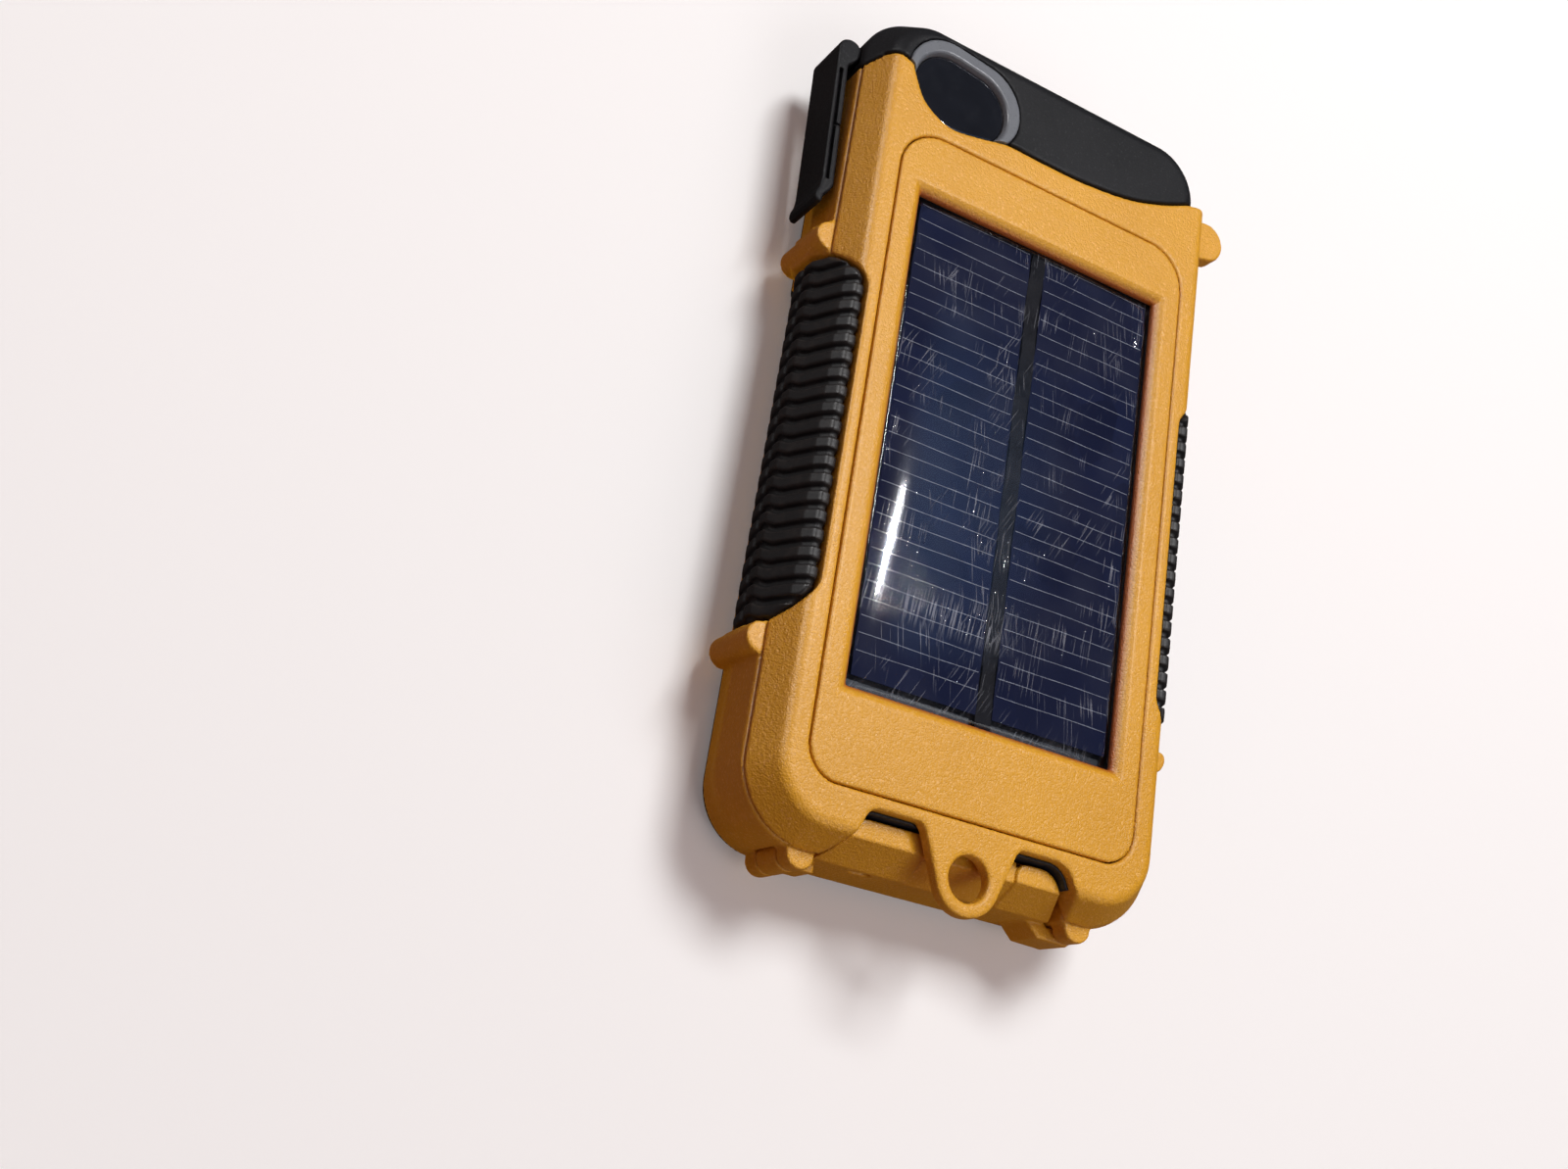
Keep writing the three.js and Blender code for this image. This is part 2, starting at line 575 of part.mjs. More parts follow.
/** The lug on the lid's left flank that carries the latch pin, with the lever's relief around it. */
function withLatchLug(body) {
  const { x, y, barrel, lug } = LATCH_PIN;
  const outline = [...arc(x, y, lug, 90, 270, 8), point(-33.4, y - 1.5), point(-33.4, y + 1.5)];
  const relief = post(x, y, barrel + 0.35, LATCH.bottom - 0.3, LATCH.top + 0.3, 20);
  return join(cut(body, relief), prism(outline, 7.6, 12.4));
}

function topLid() {
  const edge = SPLIT_Y + 0.15;
  const sealGroove = prismY(rect(-31.3, 31.3, 0.9, 18.7), edge - 1, edge + 0.95)
    .subtract(prismY(rect(-29.9, 29.9, 2.1, 17.5), edge - 2, edge + 2));
  const groove = sealGroove.intersect(join(
    box(-FAR, FAR, -FAR, FAR, 0, 15), box(-7.2, FAR, -FAR, FAR, 0, FAR)));
  return cut(
    withLatchLug(join(outsideForm(LID_RIGHT_INSET).intersect(lidRegion()), lidBarrel())),
    box(-BAY.x, BAY.x, -FAR, BAY.top, BAY.front, BAY.back),
    box(-8, 8, 64.6, 66.4, -1, BAY.front + 0.1),
    prism(slot(TUNNEL), BAY.back - 1, FAR),
    prism(slot(RING, FIT), LENS_POCKET_Z, FAR),
    groove,
    prismY(
      roundRect(POWER_BUTTON_X - 4.5, POWER_BUTTON_X + 4.5, SIDE_BUTTON_Z - 1.9, SIDE_BUTTON_Z + 1.9, 1.8),
      71.4, FAR),
    prismY(rect(POWER_BUTTON_X - 2.8, POWER_BUTTON_X + 2.8, SIDE_BUTTON_Z - 1.2, SIDE_BUTTON_Z + 1.2),
      BAY.top - 1, 72),
    post(LID_PIN.x, LID_PIN.y, LID_PIN.radius + 0.05, 0, FAR, 16),
    post(LATCH_PIN.x, LATCH_PIN.y, LATCH_PIN.radius + 0.05, 0, 14.3, 12));
}

function cameraRing() {
  const ring = prism(slot(RING), LENS_POCKET_Z + 0.05, THICKNESS, [slot(LENS).reverse()]);
  return ring.intersect(prism(aboveCurve(GAP), 0, FAR));
}

const cameraWindow = () =>
  prism(slot(LENS, -0.15), LENS_POCKET_Z + 0.05, 21.2).intersect(prism(aboveCurve(GAP), 0, FAR));

function lidSeal() {
  const edge = SPLIT_Y + 0.15;
  const inner = rect(-30.1, 30.1, 2, 17.6).reverse();
  const ring = prismY(rect(-31.1, 31.1, 1.1, 18.5), edge - 0.1, edge + 0.85, [inner]);
  return ring.intersect(join(box(-FAR, FAR, -FAR, FAR, 0, 14.8), box(-7, FAR, -FAR, FAR, 0, FAR)));
}

function latchLever() {
  const { inner, outer, tip, low, bottom, top } = LATCH;
  const { x, y, barrel, lug } = LATCH_PIN;
  const outline = [
    ...arc(x, y, barrel, 0, 180, 12),
    point(outer[0], 62), point(outer[1], 39.6), point(outer[1] - 0.1, 38.2), point(tip, 36.9),
    point(tip, 36.1), point(tip + 0.4, low), point(tip + 1.2, low), point(outer[1] + 0.75, 36.8),
    point(inner[1] - 0.4, 38.2), point(inner[1], 39.2), point(inner[0], 61.5), point(x + barrel, y - 0.6),
  ];
  const nose = prism([point(-36, 42), point(-35.2, 43.2), point(-35.2, 44), point(-36, 45)], 8, 12);
  const channel = [point(-37.15, 39.6), point(-36.55, 39.6), point(-37.35, 60.6), point(-37.95, 60.6)];
  const lugSlot = prism([point(x, y), ...arc(x, y, 4, -70, 155, 9)], KNUCKLES.middle[0], KNUCKLES.middle[1]);
  return cut(
    join(prism(outline, bottom, top), nose),
    prism(channel, top - 0.9, FAR),
    prism(rect(-36.9, -35, 49.8, 50.4), top - 0.6, FAR),
    post(x, y, lug + 0.3, KNUCKLES.middle[0], KNUCKLES.middle[1], 16),
    lugSlot,
    post(x, y, LATCH_PIN.radius + 0.05, 0, 14.3, 12));
}

function portDoor() {
  const { left, right, flare, top, tabTop, bottom, wall } = DOOR;
  const inside = PORT_WALL_Y - 0.2;
  const section = (upper) => [
    point(BOTTOM_Y + 0.8, bottom), point(inside, bottom), point(inside, upper), point(inside - 3, upper),
    point(BOTTOM_Y, upper - 5), point(BOTTOM_Y, bottom + 0.8),
  ];
  const ends = prism([
    point(left, BOTTOM_Y - 1), point(right + flare + 0.2, BOTTOM_Y - 1),
    point(right, inside), point(left, inside),
  ], 0, FAR);
  const tab = (x0, x1, plan) => prismX(section(tabTop), x0, x1).intersect(prism(plan, bottom, FAR));
  const leftTab = tab(left, -5.4, [
    ...arc(-15.4, inside - 1.8, 1.8, 90, 150, 3), ...NOTCH_SLOPE.map(([x, y]) => point(x + 0.6, y)),
    point(-5.4, BOTTOM_Y - 1), ...arc(-7.4, inside - 2, 2, 0, 90, 4),
  ]);
  const rightTab = tab(10, right + flare, [
    ...arc(12, inside - 2, 2, 90, 180, 4), point(10, BOTTOM_Y - 1), point(right + flare + 0.4, BOTTOM_Y - 1),
    ...arc(14.1, inside - 3.9, 3.9, 20, 90, 4),
  ]);
  const underLoop = prismX(section(tabTop - 0.6), -5.6, 10.2);
  const hollow = [
    point(BOTTOM_Y + wall, bottom + wall), point(0, bottom + wall), point(0, top - wall),
    point(inside - 3, top - wall), point(BOTTOM_Y + wall, top - 5),
  ];
  const cover = cut(
    join(prismX(section(top), left, right + flare).intersect(ends), leftTab, rightTab, underLoop),
    prismX(hollow, left + wall, right - 1.2));
  const arm = prism([
    point(DOOR_PIN.x, DOOR_PIN.y - 1.6), point(left + 1.5, DOOR_PIN.y - 1.6), point(left + 1.5, -61.9),
    point(left + 0.2, -61.9), point(DOOR_PIN.x, DOOR_PIN.y + 0.8),
  ], ...KNUCKLES.middle);
  const lip = prism([
    point(15.6, BOTTOM_Y + 0.6), point(17.4, BOTTOM_Y - 0.4), point(19.4, -65.9), point(24.9, -66.1),
    point(25.9, -65.3), point(25.9, -64.2), point(21, BOTTOM_Y - 0.3), point(20, BOTTOM_Y + 0.6),
  ], 5.4, 12.5);
  const eyelet = prism(roundRect(-13.5, -10.5, -FAR, -60, 0.1), 11.8, 13);
  return cut(
    join(cover, arm, post(DOOR_PIN.x, DOOR_PIN.y, DOOR_PIN.barrel, ...KNUCKLES.middle, 20), lip),
    eyelet,
    post(DOOR_PIN.x, DOOR_PIN.y, DOOR_PIN.radius + 0.05, 0, FAR, 12));
}

/** Rubber plug on the inside of the port door; its nose fills the port opening. */
function portSeal() {
  const outer = BOTTOM_Y + DOOR.wall + 0.1;
  const inner = PORT_WALL_Y - 0.25;
  const pad = prismX([
    point(outer, 5.4), point(inner, 5.4), point(inner, 14.2), point(inner - 2, 14.2), point(outer, 10.9),
  ], -15, 14);
  const nose = box(-3.9, 3.8, PORT_WALL_Y - 1, PORT_WALL_Y + 0.02, 9.3, 12.7);
  return join(pad, nose);
}

// ---------------------------------------------------------------------------------------------
// Buttons, pins and screws, each around its own origin
// ---------------------------------------------------------------------------------------------

function volumeButton() {
  return join(
    prismX(roundRect(-3.5, 3.5, -1.8, 1.8, 1.8), 33.2, 35.7),
    prismX(rect(-2, 2, -1, 1), BAY.x + 0.6, 33.4));
}

function powerButton() {
  return join(
    prismY(roundRect(-4.2, 4.2, -1.6, 1.6, 1.6), 72.1, 73.5),
    prismY(rect(-2.5, 2.5, -0.9, 0.9), BAY.top + 0.55, 72.3));
}

const pin = (radius, z0, z1) => post(0, 0, radius, z0, z1, 12);

function trayScrew() {
  const head = cut(post(0, 0, 1.6, 12.35, 13.3, 14), box(-1.1, 1.1, -0.2, 0.2, 12, 12.8),
    box(-0.2, 0.2, -1.1, 1.1, 12, 12.8));
  return join(head, post(0, 0, 0.8, 13.2, 17.9, 10));
}

// ---------------------------------------------------------------------------------------------
// Assembly
// ---------------------------------------------------------------------------------------------

const housing = new THREE.Group();
const lid = new THREE.Group();
const latch = new THREE.Group();
const door = new THREE.Group();

function place(group, name, solid, material, x = 0, y = 0, z = 0) {
  const mesh = new THREE.Mesh(toGeometry(solid), MATERIALS[material]);
  mesh.name = name;
  mesh.position.set(x, y, z);
  group.add(mesh);
}

place(housing, 'back_shell', backShell(), 'amber');
place(housing, 'solar_bezel', solarBezel(), 'amber');
place(housing, 'solar_cover', solarCover(), 'clear');
place(housing, 'solar_gasket', solarGasket(), 'seal');
place(housing, 'solar_cell_left', solarCell(-24.3, -0.25), 'cell');
place(housing, 'solar_cell_right', solarCell(2.65, 24.3), 'cell');
place(housing, 'solar_busbar', box(-0.15, 2.55, -40.4, 41, 18.45, 18.65), 'dark');
place(housing, 'solar_backing', solarBacking(), 'dark');

place(housing, 'port_gasket', box(-15.2, 14.2, -56.9, -55.7, SEAM_Z + 0.4, 19.3), 'seal');

place(housing, 'front_shell', frontShell(), 'amber');
place(housing, 'inner_tray', innerTray(), 'black');
place(housing, 'front_bezel', frontBezel(), 'black');
place(housing, 'membrane_gasket', membraneGasket(), 'seal');
place(housing, 'screen_membrane', screenMembrane(), 'film');
place(housing, 'grip_right', grip(), 'rubber');
place(housing, 'grip_left', mirrorX(grip()), 'rubber');

place(housing, 'battery_cell', batteryCell(), 'battery');
place(housing, 'charge_board', box(-26.8, 26.8, -55.1, -47.3, 13.2, 14.2), 'board');
place(housing, 'usb_socket', usbSocket(), 'steel');
place(housing, 'dock_connector', dockConnector(), 'black');
place(housing, 'controller_chip', box(7, 12, -53.6, -48.6, 14.25, 15.2), 'dark');
place(housing, 'power_inductor', post(-9, -51.2, 2.6, 14.25, 16.2, 12), 'dark');
place(housing, 'check_switch', box(-22.4, -17.6, CHIN_Y - 2.4, CHIN_Y + 2.4, 11.9, 13.15), 'steel');
place(housing, 'light_guide', lightGuide(), 'led');
LIGHT_X.forEach((x, i) => {
  place(housing, `level_led_${i + 1}`, box(-0.8, 0.8, -0.8, 0.8, 12.3, 13.15), 'led', x, CHIN_Y);
});
const LEADS = [
  ['solar_lead_red', 'red', [[-17, -39.6, 17.1], [-17, -40, 15.6], [-16.5, -45, 15.2], [-16, -49, 14.8]]],
  ['solar_lead_black', 'rubber', [[-14, -39.6, 17.1], [-14, -40, 15.6], [-14, -45, 15.2], [-14, -49, 14.8]]],
  ['battery_lead_red', 'red', [[14, -38.7, 15], [14.5, -42, 15.2], [16, -46, 15.2], [17, -49, 14.8]]],
  ['battery_lead_black', 'rubber', [[17, -38.7, 15], [18, -42, 15.2], [19, -46, 15.2], [20, -49, 14.8]]],
];
LEADS.forEach(([name, colour, path]) => place(housing, name, wire(path, LEAD_RADIUS), colour));

TRAY_SCREWS.forEach(([x, y], i) => place(housing, `tray_screw_${i + 1}`, trayScrew(), 'steel', x, y));
place(housing, 'lid_hinge_pin', pin(LID_PIN.radius, 3.8, 15.4), 'steel', LID_PIN.x, LID_PIN.y);
place(housing, 'door_hinge_pin', pin(DOOR_PIN.radius, 3.8, 15.4), 'steel', DOOR_PIN.x, DOOR_PIN.y);

place(housing, 'home_button', homeButton(), 'rubber', 0, HOME_BUTTON.y);
place(housing, 'check_button', checkButton(), 'rubber', CHECK_BUTTON_X, CHIN_Y);
Object.entries(VOLUME_Y).forEach(([name, y]) => {
  place(housing, name, volumeButton(), 'black', 0, y, SIDE_BUTTON_Z);
});

place(lid, 'top_lid', topLid(), 'black');
place(lid, 'camera_ring', cameraRing(), 'ring');
place(lid, 'camera_window', cameraWindow(), 'lens');
place(lid, 'lid_seal', lidSeal(), 'seal');
place(lid, 'latch_pin', pin(LATCH_PIN.radius, 6.5, 14.1), 'steel', LATCH_PIN.x, LATCH_PIN.y);
place(lid, 'power_button', powerButton(), 'black', POWER_BUTTON_X, 0, SIDE_BUTTON_Z);
place(latch, 'latch_lever', latchLever(), 'black');
place(door, 'port_door', portDoor(), 'amber');
place(door, 'port_seal', portSeal(), 'seal');

const centreX = (LATCH_PIN.x - LATCH_PIN.barrel + LID_PIN.x + LID_PIN.knuckle) / 2;
const centreY = (LOOP.y - LOOP.outer + 73.5) / 2;

const phoneCase = new THREE.Group();
phoneCase.add(housing, lid, latch, door);
phoneCase.position.set(-centreX, -centreY, 0);

export default phoneCase;
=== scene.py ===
"""Looks of the rugged solar phone charger case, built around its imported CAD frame.

Lengths are millimetres in the case frame unless a name says otherwise: x and y are measured from the
centre of the solar window and z from the plane the case rests on. Each shell is described as a distance
field, which gives every edge its true rounding, and the field's zero surface becomes the mesh.
"""

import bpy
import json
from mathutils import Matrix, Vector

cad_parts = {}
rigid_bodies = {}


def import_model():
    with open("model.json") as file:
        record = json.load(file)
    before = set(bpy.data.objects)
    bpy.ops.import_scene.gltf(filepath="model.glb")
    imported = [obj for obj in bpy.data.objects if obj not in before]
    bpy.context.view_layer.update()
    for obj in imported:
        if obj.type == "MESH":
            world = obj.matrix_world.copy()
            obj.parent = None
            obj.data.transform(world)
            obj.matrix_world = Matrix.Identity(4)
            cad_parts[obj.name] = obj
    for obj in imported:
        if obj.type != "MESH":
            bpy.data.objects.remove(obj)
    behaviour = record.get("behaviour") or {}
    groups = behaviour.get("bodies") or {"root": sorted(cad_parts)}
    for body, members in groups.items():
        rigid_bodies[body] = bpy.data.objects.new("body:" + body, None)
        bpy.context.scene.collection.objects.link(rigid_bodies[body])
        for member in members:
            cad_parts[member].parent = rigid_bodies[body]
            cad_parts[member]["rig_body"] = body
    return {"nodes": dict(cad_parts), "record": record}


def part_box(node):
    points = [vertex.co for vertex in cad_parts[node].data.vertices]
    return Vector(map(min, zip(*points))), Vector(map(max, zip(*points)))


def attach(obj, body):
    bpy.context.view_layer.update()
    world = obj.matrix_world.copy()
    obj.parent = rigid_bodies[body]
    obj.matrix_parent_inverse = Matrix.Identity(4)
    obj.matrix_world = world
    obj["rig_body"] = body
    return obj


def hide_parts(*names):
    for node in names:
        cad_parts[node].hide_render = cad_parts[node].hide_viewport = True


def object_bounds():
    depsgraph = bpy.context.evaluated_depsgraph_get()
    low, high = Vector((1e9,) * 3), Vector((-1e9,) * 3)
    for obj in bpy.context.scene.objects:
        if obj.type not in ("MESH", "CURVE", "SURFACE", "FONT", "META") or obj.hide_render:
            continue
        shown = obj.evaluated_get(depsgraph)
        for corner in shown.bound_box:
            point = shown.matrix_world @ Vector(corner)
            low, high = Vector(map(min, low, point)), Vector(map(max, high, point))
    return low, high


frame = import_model()

import copy
import json
import math

import bpy
import numpy as np
from mathutils import Matrix, Vector

CAD_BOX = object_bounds()

MM = 0.001  # metres in a millimetre
STEP_SCALE = 1.0

# ---- Driving dimensions ----

backing_low, backing_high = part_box("solar_backing")
ORIGIN = np.array([(backing_low.x + backing_high.x) / 2, (backing_low.y + backing_high.y) / 2, 0.0])

THICKNESS = CAD_BOX[1].z / MM
SEAM_Z = 16.4
SEAM_GAP = 0.1
BEZEL_Z = 2.2
FLAP_Z = 19.6
GAP = 0.3
FAR = 100.0
SPLIT_Y = 61.45
HOUSING_TOP = SPLIT_Y - 0.15
LID_EDGE = SPLIT_Y + 0.15
LID_INSET = 2.7
SIDE_X = 35.05

BAY = {"x": 29.45, "bottom": -45.6, "top": 70.45, "front": 2.65, "back": 12.1}
CHAMBER = {"x": 30.1, "bottom": -55.4}
PORT_WALL_Y = -57.0
WINDOW = {"x": 24.6, "y": 41.6, "slope": 1.25, "deep": 1.2}
PLATE = {"x": 27.9, "bottom": -54.4, "top": 50.7, "floor": 20.3, "skirt": 19.8}
DOME = {"x": 23.2, "y": 40.2, "low": 18.8, "rim": 19.75, "top": 21.1}
RING = (-18.4, 61.2, 6.4, 7.6, -7)
LENS = (-18.95, 60.0, 4.8, 6.3, -7)
LENS_Z = (20.3, 21.2)
TUNNEL = (-18.95, 60.3, 4.8, 5.2, -7)
GRIP = {"edge": 30.2, "low": -33.2, "high": 26.5, "slant": 3.0, "fillet": 4.0, "pitch": 2.85}
LID_PIN = {"x": 37.4, "y": 61.2, "knuckle": 3.7, "barrel": 2.9, "bore": 1.05, "pin": 1.0}
LATCH_PIN = {"x": -36.6, "y": 64.3, "barrel": 2.1, "lug": 1.2, "bore": 0.65, "pin": 0.6}
DOOR_PIN = {"x": -23.7, "y": -63.7, "barrel": 2.3, "bore": 0.65, "pin": 0.6}
BORE_END = 15.6
KNUCKLES = {"low": (3.6, 7.0), "middle": (7.3, 12.7), "high": (13.0, 16.3)}
LATCH_Z = (6.3, 15.2)
LOOP = {"y": -62.4, "hole": 3.3, "outer": 5.4, "bottom": 19.7}
DOOR = {"left": -21.0, "front": -63.6, "bottom": 2.6, "top": 16.2, "tab": 19.0, "wall": 1.8}
NOTCH_SLOPE = [(-18.6, -60.2), (-20.2, -62.4), (-21.4, -63.6)]
HOME = {"y": -36.5, "radius": 5.3}
CHIN_Y = -51.5
CHECK_X = -20.0
LIGHTS = [(x, CHIN_Y) for x in (17.0, 20.0, 23.0, 26.0)]
LIGHT_HOLE = 0.95
VOLUME_Y = (48.2, 38.0)
SIDE_BUTTON_Z = 7.4
RIDGE_PITCH = 1.1
POWER_X = -17.0
SCREWS = [(x, y) for y in (53.0, 2.0, -43.5) for x in (-27.1, 27.1)]

# Outside form, level by level: z, half width, bottom, top, radius of the lower and of the upper corners.
FORM = np.array([
    (-2.0, 31.5, -60.1, 69.2, 8.5, 8.0),
    (0.0, 32.6, -61.6, 70.6, 9.0, 9.0),
    (2.0, 33.7, -63.1, 72.0, 9.5, 10.0),
    (6.0, 34.45, -63.6, 73.0, 11.0, 11.0),
    (8.0, 35.05, -63.6, 73.2, 11.5, 10.0),
    (16.4, 35.05, -63.6, 73.2, 11.5, 10.0),
    (22.0, 31.5, -60.2, 70.2, 8.5, 7.8),
    (24.0, 30.23, -58.99, 69.13, 7.43, 7.0),
])

# ---- Outlines: lists of points, counter-clockwise ----


def arc(x, y, radius, start, end, steps=10):
    angles = np.radians(np.linspace(start, end, steps + 1))
    return [(x + radius * math.cos(a), y + radius * math.sin(a)) for a in angles]


def rounded(x0, x1, y0, y1, low, high=None):
    """A rectangle whose lower corners have radius low and whose upper ones have radius high."""
    high = low if high is None else high
    return (arc(x0 + low, y0 + low, low, 180, 270) + arc(x1 - low, y0 + low, low, 270, 360)
            + arc(x1 - high, y1 - high, high, 0, 90) + arc(x0 + high, y1 - high, high, 90, 180))


def rect(x0, x1, y0, y1):
    return [(x0, y0), (x1, y0), (x1, y1), (x0, y1)]


def slot(shape, grow=0.0):
    """A round-ended slot: centre, straight length, end radius and turn."""
    x, y, straight, radius, turn = shape
    radius += grow
    ends = arc(straight / 2, 0, radius, -90, 90, 20) + arc(-straight / 2, 0, radius, 90, 270, 20)
    c, s = math.cos(math.radians(turn)), math.sin(math.radians(turn))
    return [(x + c * u - s * v, y + s * u + c * v) for u, v in ends]


def spline(points, steps):
    """A Catmull-Rom curve through the points."""
    p = np.array([points[0], *points, points[-1]], float)
    result = []
    for i in range(1, len(p) - 2):
        for t in np.linspace(0, 1, steps, endpoint=False):
            a, b = (p[i + 1] - p[i - 1]) / 2, (p[i + 2] - p[i]) / 2
            result.append(tuple((2 * t**3 - 3 * t**2 + 1) * p[i] + (t**3 - 2 * t**2 + t) * a
                                + (3 * t**2 - 2 * t**3) * p[i + 1] + (t**3 - t**2) * b))
    return result + [tuple(p[-1])]


def shoulder(raise_by=0.0):
    """The housing's upper edge on the back face, left to right."""
    dip = spline([
        (-28.3, 61.6), (-27.5, 59.75), (-25.6, 56.4), (-22.4, 54.3), (-19.3, 53.7), (-14.8, 54.45),
        (-9.2, 55.7), (-3.1, 55.6), (6.15, 55.75), (15.6, 56.95), (22.7, 59.2), (28.25, 61.7),
    ], 5)
    line = [(-40, 62.8), (-30.9, 62.6), (-28.9, 62.1), *dip, (31.2, 62.3), (40, 62.3)]
    return [(x, y + raise_by) for x, y in line]


def below_shoulder():
    return [(-FAR, -FAR), (FAR, -FAR), (FAR, 62.3), *reversed(shoulder()), (-FAR, 62.8)]


def above_shoulder():
    return [*shoulder(GAP), (FAR, 62.6), (FAR, FAR), (-FAR, FAR), (-FAR, 63.1)]


def door_notch():
    """Plan of the two notches and the space between them, in front of the port door."""
    return ([(-23, -68.6), (21.5, -68.6), (20.9, -63.6), (18.6, -59.9)] + arc(14.3, -60.4, 4, 20, 90)
            + arc(-15.6, -58.5, 2.1, 90, 150, 6) + NOTCH_SLOPE)


def loop_outline():
    """Plan of the lanyard loop with its root."""
    return ([(9.6, -54.8), (-9.6, -54.8), (-9.4, -56.2), (-8.7, -56.5), (-8, -57.2), (-6.5, -60.7)]
            + arc(0, LOOP["y"], LOOP["outer"], 200, 340, 24)
            + [(6.4, -60.7), (7.7, -57.2), (8.3, -56.5), (8.9, -56.2)])


# ---- Distance fields ----


def both(a, b, r=0.0):
    """Where both solids are, with the edge between them rounded to radius r."""
    if r == 0:
        return np.maximum(a, b)
    corner = np.sqrt(np.maximum(a + r, 0) ** 2 + np.maximum(b + r, 0) ** 2)
    return np.minimum(np.maximum(a, b), -r) + corner


def either(a, b, r=0.0):
    """Both solids joined, with a fillet of radius r in the corner between them."""
    return np.minimum(a, b) if r == 0 else -both(-a, -b, r)


def less(a, b, r=0.0):
    """The first solid without the second, with the edge between them rounded to radius r."""
    return both(a, -b, r)


def union(*fields):
    result = fields[0]
    for field in fields[1:]:
        result = either(result, field)
    return result


def past_corner(qx, qy, radius):
    """Distance to a rounded corner: qx and qy are how far a point lies past the centre of its arc."""
    return either(both(qx, qy), 0) + np.hypot(both(qx, 0), both(qy, 0)) - radius


def polygon(u, v, outline):
    """Signed distance from every point of the grid u by v to a closed outline."""
    u, v = u[:, None], v[None, :]
    nearest = np.full((u.shape[0], v.shape[1]), 1e9, np.float32)
    inside = np.zeros(nearest.shape, bool)
    for (ax, ay), (bx, by) in zip(outline, outline[1:] + outline[:1]):
        ex, ey = bx - ax, by - ay
        square = ex * ex + ey * ey
        if square < 1e-12:
            continue
        wx, wy = u - ax, v - ay
        t = np.clip((wx * ex + wy * ey) / square, 0, 1)
        nearest = np.minimum(nearest, (wx - ex * t) ** 2 + (wy - ey * t) ** 2)
        above, below, left = v >= ay, v < by, ex * wy > ey * wx
        inside ^= (above & below & left) | ~(above | below | left)
    return np.where(inside, -1, 1) * np.sqrt(nearest)


class Grid:
    """A block of sample points. Fields on it are negative inside a solid."""

    def __init__(self, low, high, step):
        self.step = step * STEP_SCALE
        margin = 2 * self.step
        off_grid = 0.017  # keeps the sample planes off the round values that flat faces lie on
        self.axes = [np.arange(a - margin + off_grid, b + margin, self.step, dtype=np.float32)
                     for a, b in zip(low, high)]
        self.x = self.axes[0][:, None, None]
        self.y = self.axes[1][None, :, None]
        self.z = self.axes[2][None, None, :]

    def mirrored(self):
        """The same points with x turned round, on which a field made for the right side gives the left."""
        twin = copy.copy(self)
        twin.axes, twin.x = [-self.axes[0], *self.axes[1:]], -self.x
        return twin

    def plan(self, outline):
        return polygon(self.axes[0], self.axes[1], outline)[:, :, None]

    def side(self, outline):
        return polygon(self.axes[1], self.axes[2], outline)[None, :, :]

    def front(self, outline):
        return polygon(self.axes[0], self.axes[2], outline)[:, None, :]

    def disc(self, x, y, radius):
        return np.hypot(self.x - x, self.y - y) - radius

    def discs(self, centres, radius):
        return union(*(self.disc(x, y, radius) for x, y in centres))

    def about(self, pin, part, grow=0.0):
        """An upright cylinder about a pin's axis, with the radius of one of its parts."""
        return self.disc(pin["x"], pin["y"], pin[part] + grow)

    def between(self, z0, z1):
        return both(z0 - self.z, self.z - z1)

    def along(self, y0, y1):
        return both(y0 - self.y, self.y - y1)

    def box(self, x0, x1, y0, y1, z0, z1):
        return both(both(both(x0 - self.x, self.x - x1), self.along(y0, y1)), self.between(z0, z1))

    def slab(self, plan, heights, r):
        """A plan's solid between two heights, with rounded edges."""
        return both(both(plan, self.z - heights[1], r), heights[0] - self.z, r)

    def by_height(self, heights, values):
        """A value that changes in straight steps with z."""
        return np.interp(self.axes[2], heights, values)[None, None, :]


def both_sides(grid, make):
    """A field made for the right side, and the same for the left."""
    return either(make(grid), make(grid.mirrored()))


CORNERS = [(i, j, k) for i in (0, 1) for j in (0, 1) for k in (0, 1)]
EDGES = [(a, b) for a in range(8) for b in range(a + 1, 8)
         if sum(abs(p - q) for p, q in zip(CORNERS[a], CORNERS[b])) == 1]


def crossing_cells(grid, field, inside):
    """Every cell of the grid that the surface crosses, and the surface's mean point in it."""
    count = np.zeros([n - 1 for n in field.shape], np.int8)
    for i, j, k in CORNERS:
        count += inside[i:i + count.shape[0], j:j + count.shape[1], k:k + count.shape[2]]
    cells = np.array(np.nonzero((count > 0) & (count < 8)))
    values = [field[cells[0] + i, cells[1] + j, cells[2] + k] for i, j, k in CORNERS]
    total = np.zeros((3, cells.shape[1]))
    hits = np.zeros(cells.shape[1])
    for a, b in EDGES:
        crossed = (values[a] < 0) != (values[b] < 0)
        t = np.where(crossed, values[a] / np.where(crossed, values[a] - values[b], 1), 0)
        for axis in range(3):
            place = CORNERS[a][axis] + t * (CORNERS[b][axis] - CORNERS[a][axis])
            total[axis] += np.where(crossed, place, 0)
        hits += crossed
    points = cells + total / hits
    return cells, np.stack([grid.axes[axis][0] + points[axis] * grid.step for axis in range(3)], 1)


